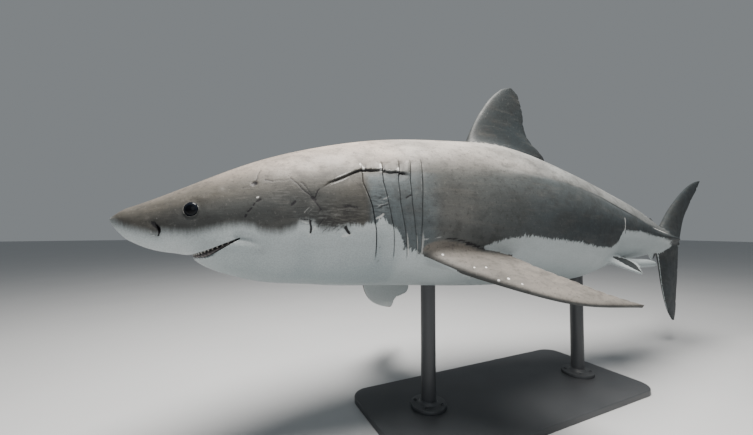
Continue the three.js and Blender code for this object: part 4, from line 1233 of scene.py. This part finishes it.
# %% Skin material
def skin_material():
    """Grey, white and marks, each chosen by a number of the vertices against a noise."""
    net = Net("shark_skin")
    place_on = net.kept("place", "Vector")
    along = net.node("ShaderNodeSeparateXYZ", {"Vector": place_on}, result="X")
    over, back, shade, cool, dark, light, speckled, hatch = (net.kept(name) for name in (
        "over", "back", "shade", "cool", "dark", "light", "speckled", "hatch"))

    cloud = net.noise(net.scaled(net.room, 1, 1, 1.7), 3.2, 4, 0.55)
    mottle = net.noise(net.scaled(net.room, 1, 1, 1.3), 17, 5, 0.62)
    grain = net.noise(net.room, 230, 2, 0.6)
    speck = net.noise(net.room, 85, 3, 0.65)
    streak = net.noise(net.scaled(place_on, 0.16, 1, 0.6), 1.5, 6, 0.66)
    frayed = net.noise(net.scaled(place_on, 9, 4, 4), 1, 4, 0.7)
    hair = net.noise(net.turned(place_on, 0.6, 0.5, 5, 1), 1.5, 4, 0.7)
    scratch = net.noise(net.turned(place_on, 0.85, 1.2, 7, 1), 1, 3, 0.6)

    # the ragged edge: soft and even on the head, crisp and drawn out upwards behind the gills
    ragged = net.noise(net.scaled(place_on, 2.6, 0.40, 0.4), 2, 5, 0.72)
    edge = net.plus(over, net.times(net.plus(ragged, -0.5), net.step(along, 14, 24, 0.5, 1.9)))
    soft = net.step(along, 14, 24, 1.1, 0.07)
    greyness = net.step(net.math("ADD", net.math("DIVIDE", edge, soft), 0.5, clamp=True), 0, 1)

    tone = net.mix(cool, (0.066, 0.062, 0.053), (0.088, 0.106, 0.113))
    # the shade number darkens the grey: the body's own darker rear, and painted shade low on the flank and on
    # the head's sides
    tone = net.mix(shade, tone, (0.024, 0.032, 0.036))
    # painted sunlight: the back number lays a pale sunlit tone over the grey
    sunlit = net.mix(cool, (0.45, 0.385, 0.33), (0.40, 0.41, 0.40))
    tone = net.mix(net.times(back, net.step(streak, 0.25, 0.75, 0.68, 1)), tone, sunlit)
    tone = net.layers(tone, ((0.036, 0.036, 0.033), cloud, 0.38, 0.66, 0, 0.38),
                      ((0.026, 0.026, 0.025), mottle, 0.46, 0.66, 0, 0.34),
                      ((0.17, 0.158, 0.14), streak, 0.48, 0.75, 0, 0.22),
                      ((0.19, 0.18, 0.17), hair, 0.60, 0.74, 0, 0.14),
                      ((0.02, 0.019, 0.018), speck, 0.56, 0.68, 0, 0.45),
                      ((0.26, 0.25, 0.235), speck, 0.30, 0.40, 0.16, 0))
    # the white grows darker towards the underside and on the pectorals' under faces: painted shade
    white_with_painted_shade = net.mix(net.step(over, -5, -0.5), (0.29, 0.335, 0.345), (0.46, 0.50, 0.505))
    white_with_painted_shade = net.layers(white_with_painted_shade, ((0.28, 0.33, 0.33), cloud, 0.35, 0.75, 0, 0.3),
                       ((0.28, 0.32, 0.32), streak, 0.5, 0.8, 0, 0.3))
    color = net.mix(greyness, white_with_painted_shade, tone)

    lines = net.times(hatch, net.step(scratch, 0.47, 0.56))
    color = net.mix(net.times(lines, net.step(greyness, 0, 1, 0.3, 0.8)), color, (0.018, 0.017, 0.017))
    color = net.mix(net.times(hatch, net.step(scratch, 0.36, 0.44, 0.18, 0)), color, (0.30, 0.30, 0.29))
    # pale marks: healed scars, pale pectoral rear edges and the lid round the eye, and painted highlights on
    # slit rims, the gill fold, the fin root and the keel
    pale = net.times(light, net.step(net.plus(frayed, net.times(light, 1.1)), 0.62, 0.90))
    color = net.mix(pale, color, (0.62, 0.62, 0.60))
    dots = net.node("ShaderNodeTexVoronoi", {"Vector": net.room, "Scale": 32}, result="Distance")
    dots = net.times(net.step(dots, 0.12, 0.19, 1, 0), net.step(net.noise(net.room, 9), 0.46, 0.50))
    color = net.mix(net.times(dots, net.step(speckled, 0.2, 0.5)), color, (0.75, 0.75, 0.73))
    # dark marks: scars, soft patches round the eye and nostril, dark fin edges, and painted shade in grooves,
    # creases and the cut recesses
    cut = net.step(net.plus(frayed, net.times(dark, 0.75)), 0.76, 0.96)
    cut = net.math("MAXIMUM", net.times(cut, net.step(dark, 0, 0.8, 0.3, 1)), net.times(dark, 0.5))
    color = net.mix(cut, color, (0.008, 0.007, 0.009))
    color = net.layers(color, ((0.04, 0.04, 0.04), grain, 0.3, 0.7, 0, 0.22))

    height = net.plus(net.plus(net.times(grain, 0.30), net.times(mottle, 0.8)), net.times(hair, 0.5))
    bump = net.bump(height, 0.5, 0.002)
    return net.shader(color, net.step(mottle, 0.3, 0.7, 0.46, 0.60), IOR=1.32, Normal=bump)


def finished(piece, material, sharp=None):
    """Smooth shading, with sharp edges over an angle in degrees where one is given."""
    faces = piece.data.polygons
    faces.foreach_set("use_smooth", np.ones(len(faces), bool))
    if sharp:
        piece.data.set_sharp_from_angle(angle=math.radians(sharp))
    piece.data.materials.clear()
    piece.data.materials.append(material)


FLESH = ["head", "lower_jaw", "gill_region", "trunk", "tail_stem", "caudal_fin_upper_lobe",
         "caudal_fin_lower_lobe", "dorsal_fin_first", "dorsal_fin_second", "anal_fin",
         "pectoral_fin_left", "pectoral_fin_right", "pelvic_fin_left", "pelvic_fin_right",
         "clasper_left", "clasper_right"]
finished(skin, skin_material(), sharp=50)
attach(skin, "root")
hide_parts(*FLESH)
print("skin's nodes:", len(skin.active_material.node_tree.nodes))

# %% [markdown]
# ## Eyes
# Each eye is a flattened ball, black with a very dark blue ring, and polished.

# %% Eyes
def eye_material():
    """Near black, with a little blue noise where the ring number is high."""
    net = Net("eye_black")
    iris = net.times(net.step(net.kept("ring"), 0.55, 0.75), net.noise(net.room, 420, 3, 0.6))
    return net.shader(net.mix(iris, (0.002, 0.0024, 0.0035), (0.009, 0.012, 0.018)), 0.16, IOR=1.22)


eye_black = eye_material()
for name, side in (("left", 1), ("right", -1)):
    centre, across, up, out = eye_axes(side)
    ball, ring = ellipsoid(EYE["flat"] * out, EYE["radius"] * across, EYE["radius"] * up, 40, 64, 0.03)
    eye = make_mesh(f"eyeball_{name}", *closed_tube(centre - EYE["sunk"] * out + ball), ring=ring)
    finished(eye, eye_black)
    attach(eye, "root")
    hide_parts(f"eye_{name}")
print("an eye's vertices:", len(eye.data.vertices))

# %% [markdown]
# ## Gum and teeth
# The mouth is almost shut. In the slot lies the lower gum, a long oval roll that swells under each
# tooth. The tips of small teeth show under the upper lip. Each tooth is a flat cone, and one array
# operation places all of them round the arch.

# %% Gum and teeth
TEETH_FROM, TEETH_TO, TOOTH_STEP = 0.10, 0.86, 0.0691
TEETH = np.concatenate([-np.linspace(TEETH_TO, TEETH_FROM, 12), np.linspace(TEETH_FROM, TEETH_TO, 12)])
TOOTH = dict(half_width=0.0052, half_thickness=0.0018, length=0.0075, hidden=0.003, behind=0.0045)


def gum_roll():
    """Ovals carried round the arch behind the lips, a cosine making one swelling for each tooth."""
    q, turn = grid(np.linspace(-0.93, 0.93, 260), circle(14))
    _, below = slot_heights(q)
    swell = 0.5 + 0.5 * np.cos((q - TEETH_FROM) / TOOTH_STEP * 2 * np.pi)
    high = -0.62 * below + (0.44 * below + 0.0004 + 0.0012 * swell) * np.sin(turn)
    out = -0.012 + (0.0085 + 0.0016 * swell) * np.cos(turn)
    return round_the_arch(q[:, 0], out, high)


def teeth():
    """Flat cones, point down: the half width falls as a power of the share down, thickness faster."""
    down, turn = grid(np.linspace(0, 0.97, 9), circle(12))
    wide = TOOTH["half_width"] * (1 - down) ** 0.8 * np.cos(turn)
    thick = TOOTH["half_thickness"] * (1 - down) * np.sin(turn) - TOOTH["behind"]
    high = TOOTH["hidden"] - TOOTH["length"] * down
    at, away = arch_frame(TEETH)
    axes = np.cross(mouth_up, away), away, np.broadcast_to(mouth_up, away.shape)
    shape = sum(part[..., None] * axis[:, None, None] for part, axis in zip((wide, thick, high), axes))
    size = 0.75 + 0.25 * hump(np.abs(TEETH) - 0.35, 0.3)
    return at[:, None, None] + size[:, None, None, None] * shape


def many_tubes(sets):
    """Vertices and faces of several tubes as one mesh."""
    vertices, faces, start = [], [], 0
    for more_vertices, more_faces in map(closed_tube, sets):
        vertices.append(more_vertices)
        faces += [[k + start for k in face] for face in more_faces]
        start += len(more_vertices)
    return np.vstack(vertices), faces


def gum_material():
    """Two dark tones, partly the gum's own and partly painted shade inside the mouth, mixed by a blotchy
    noise that also lifts the surface.
    """
    net = Net("gum")
    blotch = net.noise(net.room, 120, 4, 0.6)
    color = net.mix(net.step(blotch, 0.4, 0.65), (0.085, 0.072, 0.07), (0.022, 0.02, 0.022))
    return net.shader(color, 0.35, Normal=net.bump(blotch, 0.4, 0.001))


def tooth_material():
    """Ivory greyed with painted shade, as under the upper lip, with stains where a fine noise is high."""
    net = Net("tooth")
    stain = net.step(net.noise(net.room, 200, 3, 0.5), 0.4, 0.7)
    return net.shader(net.mix(stain, (0.30, 0.29, 0.27), (0.17, 0.16, 0.14)), 0.3)


for name, shape, material in (("lower_gum", closed_tube(gum_roll()), gum_material()),
                              ("upper_teeth", many_tubes(teeth()), tooth_material())):
    piece = make_mesh(name, *shape)
    finished(piece, material)
    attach(piece, "root")
print("teeth:", len(TEETH))

# %% [markdown]
# ## Stand
# A steel plate with softened edges, painted charcoal, and two rods in flanges that are screwed down.
# All of these are turned or stacked outlines: loops, one above the other, closed at both ends. The
# rods end inside the belly, so no gap shows where they meet the skin.

# %% Stand pieces
PLATE_CORNER, PLATE_EDGE, ROD_RADIUS, SCREW_CIRCLE = 0.09, 0.005, 0.035, 0.066
NECK = [(0.052, 0), (0.046, 0.002), (0.042, 0.007), (0.040, 0.013), (0.038, 0.015), (0.0345, 0.015)]
SCREW = [(0.0085, -0.004), (0.0085, 0.0035), (0.0078, 0.0048), (0.0065, 0.0052), (0.0045, 0.0052),
         (0.0040, 0.0020), (0.0010, 0.0015)]  # radius and height over the flange


def node_box(name):
    """Lowest and highest corner of one of the frame's solids."""
    at = read(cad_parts[name].data.vertices, "co", 3)
    return at.min(0), at.max(0)


def stacked(flat, z):
    """Flat loops lifted to their heights."""
    return np.concatenate([flat, np.broadcast_to(z[:, None, None], (*flat.shape[:2], 1))], -1)


def plate_loops(low, high):
    """A rectangle with round corners, stacked from bottom to top, its upper edge a quarter circle."""
    rounding = np.linspace(0, np.pi / 2, 6)
    inset = np.concatenate([[0.001, 0], PLATE_EDGE * (1 - np.cos(rounding))])
    z = np.concatenate([[low[2], low[2] + 0.001], high[2] - PLATE_EDGE * (1 - np.sin(rounding))])
    turn = (np.linspace(0, np.pi / 2, 12) + circle(4)[:, None]).ravel()
    corners = np.repeat([(1, 1), (-1, 1), (-1, -1), (1, -1)], 12, axis=0)
    centres = (high + low)[:2] / 2 + corners * ((high - low)[:2] / 2 - PLATE_CORNER)
    return stacked(centres + (PLATE_CORNER - inset)[:, None, None] * ellipse(turn, *np.eye(2)), z)


def turned(centre, profile, count=72):
    """A lathe's work: circles of the profile's radii at its heights, round an upright axis."""
    r, z = np.array(profile, float).T
    return stacked(centre[:2] + r[:, None, None] * ellipse(circle(count), *np.eye(2)), z)


def flange(centre, low, high):
    """A flat disc with an eased edge and a low neck that rises to the rod."""
    radius, top = (high - low)[0] / 2, high[2]
    disc = [(radius - 0.002, low[2]), (radius, low[2] + 0.002), (radius, top - 0.004),
            (radius - 0.001, top - 0.0015), (radius - 0.004, top)]
    return turned(centre, np.vstack([disc, np.array(NECK) + [0, top]]))


def screw(centre, top, angle):
    """A low round head with a sunk middle."""
    centre = centre[:2] + SCREW_CIRCLE * np.array([math.cos(angle), math.sin(angle)])
    return turned(centre, np.array(SCREW) + [0, top], 24)


pieces = {"stand_base": closed_tube(plate_loops(*node_box("stand_base")))}
for end in ("front", "rear"):
    low, high = node_box(f"stand_rod_{end}")
    centre = (low + high) / 2
    profile = [(ROD_RADIUS, z) for z in np.linspace(low[2], high[2], 12)]
    pieces[f"stand_rod_{end}"] = closed_tube(turned(centre, profile))
    low, high = node_box(f"stand_flange_{end}")
    screws = [screw(centre, high[2], angle) for angle in circle(4) + np.pi / 4]
    pieces[f"stand_flange_{end}"] = many_tubes([flange(centre, low, high), *screws])
print("stand pieces:", list(pieces))

# %% [markdown]
# Charcoal paint over steel: nearly even in tone, with a fine orange-peel grain and a satin shine
# that varies a little, as sprayed paint does.

# %% Stand material
def stand_material():
    """A slow noise varies tone and shine, a very fine one makes the grain."""
    net = Net("painted_steel")
    cloud, grain = net.noise(net.room, 3, 3, 0.5), net.noise(net.room, 700, 2, 0.5)
    color = net.mix(net.step(cloud, 0.3, 0.7), (0.036, 0.039, 0.043), (0.048, 0.051, 0.055))
    color = net.layers(color, ((0.09, 0.093, 0.097), grain, 0.6, 0.75, 0, 0.3))
    return net.shader(color, net.step(cloud, 0.2, 0.8, 0.36, 0.5), Normal=net.bump(grain, 0.25, 0.0004))


painted = stand_material()
for node, shape in pieces.items():
    piece = make_mesh(node + "_painted", *shape)
    finished(piece, painted, sharp=35)
    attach(piece, "root")
    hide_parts(node)
print("painted pieces:", len(pieces))

# %% [markdown]
# ## Floor, light and camera
# A plain pale floor and soft studio light from above. The camera stands close to the head with a
# wide lens, so the tail shrinks away behind.

# %% Stage
SKY_COLOR, SKY_STRENGTH = (0.80, 0.86, 0.90, 1), 0.27
LAMPS = {  # place, what it points at, size in metres, watts and colour
    "key": ((-0.9, -0.5, 4.3), (-0.1, 0.1, 0.8), 2.4, 600, (1.0, 0.955, 0.90)),
    "fill": ((-2.5, -4.5, 1.6), (0, 0, 0.8), 3.0, 28, (0.85, 0.93, 1.0))}
CAMERA_AT, CAMERA_TURN = (-1.371, -1.3355, 0.874), (91.9, 0, -25)
LENS, SENSOR = 16.0, 36.0  # millimetres

bpy.ops.mesh.primitive_plane_add(size=60, location=(0, 0, 0))
floor = bpy.context.object
floor.name = "floor"
net = Net("floor_paint")
floor_tone = net.mix(net.noise(net.room, 1.5, 3.0), (0.44, 0.45, 0.46), (0.48, 0.49, 0.50))
floor.data.materials.append(net.shader(floor_tone, 0.7))

world = bpy.data.worlds.new("studio")
bpy.context.scene.world = world
world.use_nodes = True
sky = world.node_tree.nodes["Background"].inputs
sky["Color"].default_value, sky["Strength"].default_value = SKY_COLOR, SKY_STRENGTH

for name, (where, towards, size, watts, color) in LAMPS.items():
    light = bpy.data.lights.new(name, "AREA")
    light.shape, light.size, light.energy, light.color = "DISK", size, watts, color
    lamp = add_object(name, light)
    lamp.location = where
    lamp.rotation_euler = (Vector(towards) - Vector(where)).to_track_quat("-Z", "Y").to_euler()

camera = add_object("camera", bpy.data.cameras.new("camera"))
camera.data.lens, camera.data.sensor_width, camera.data.clip_start = LENS, SENSOR, 0.05
camera.location = CAMERA_AT
camera.rotation_euler = np.radians(CAMERA_TURN)
bpy.context.scene.camera = camera
print("lamps:", list(LAMPS))

# %% [markdown]
# ## Finish
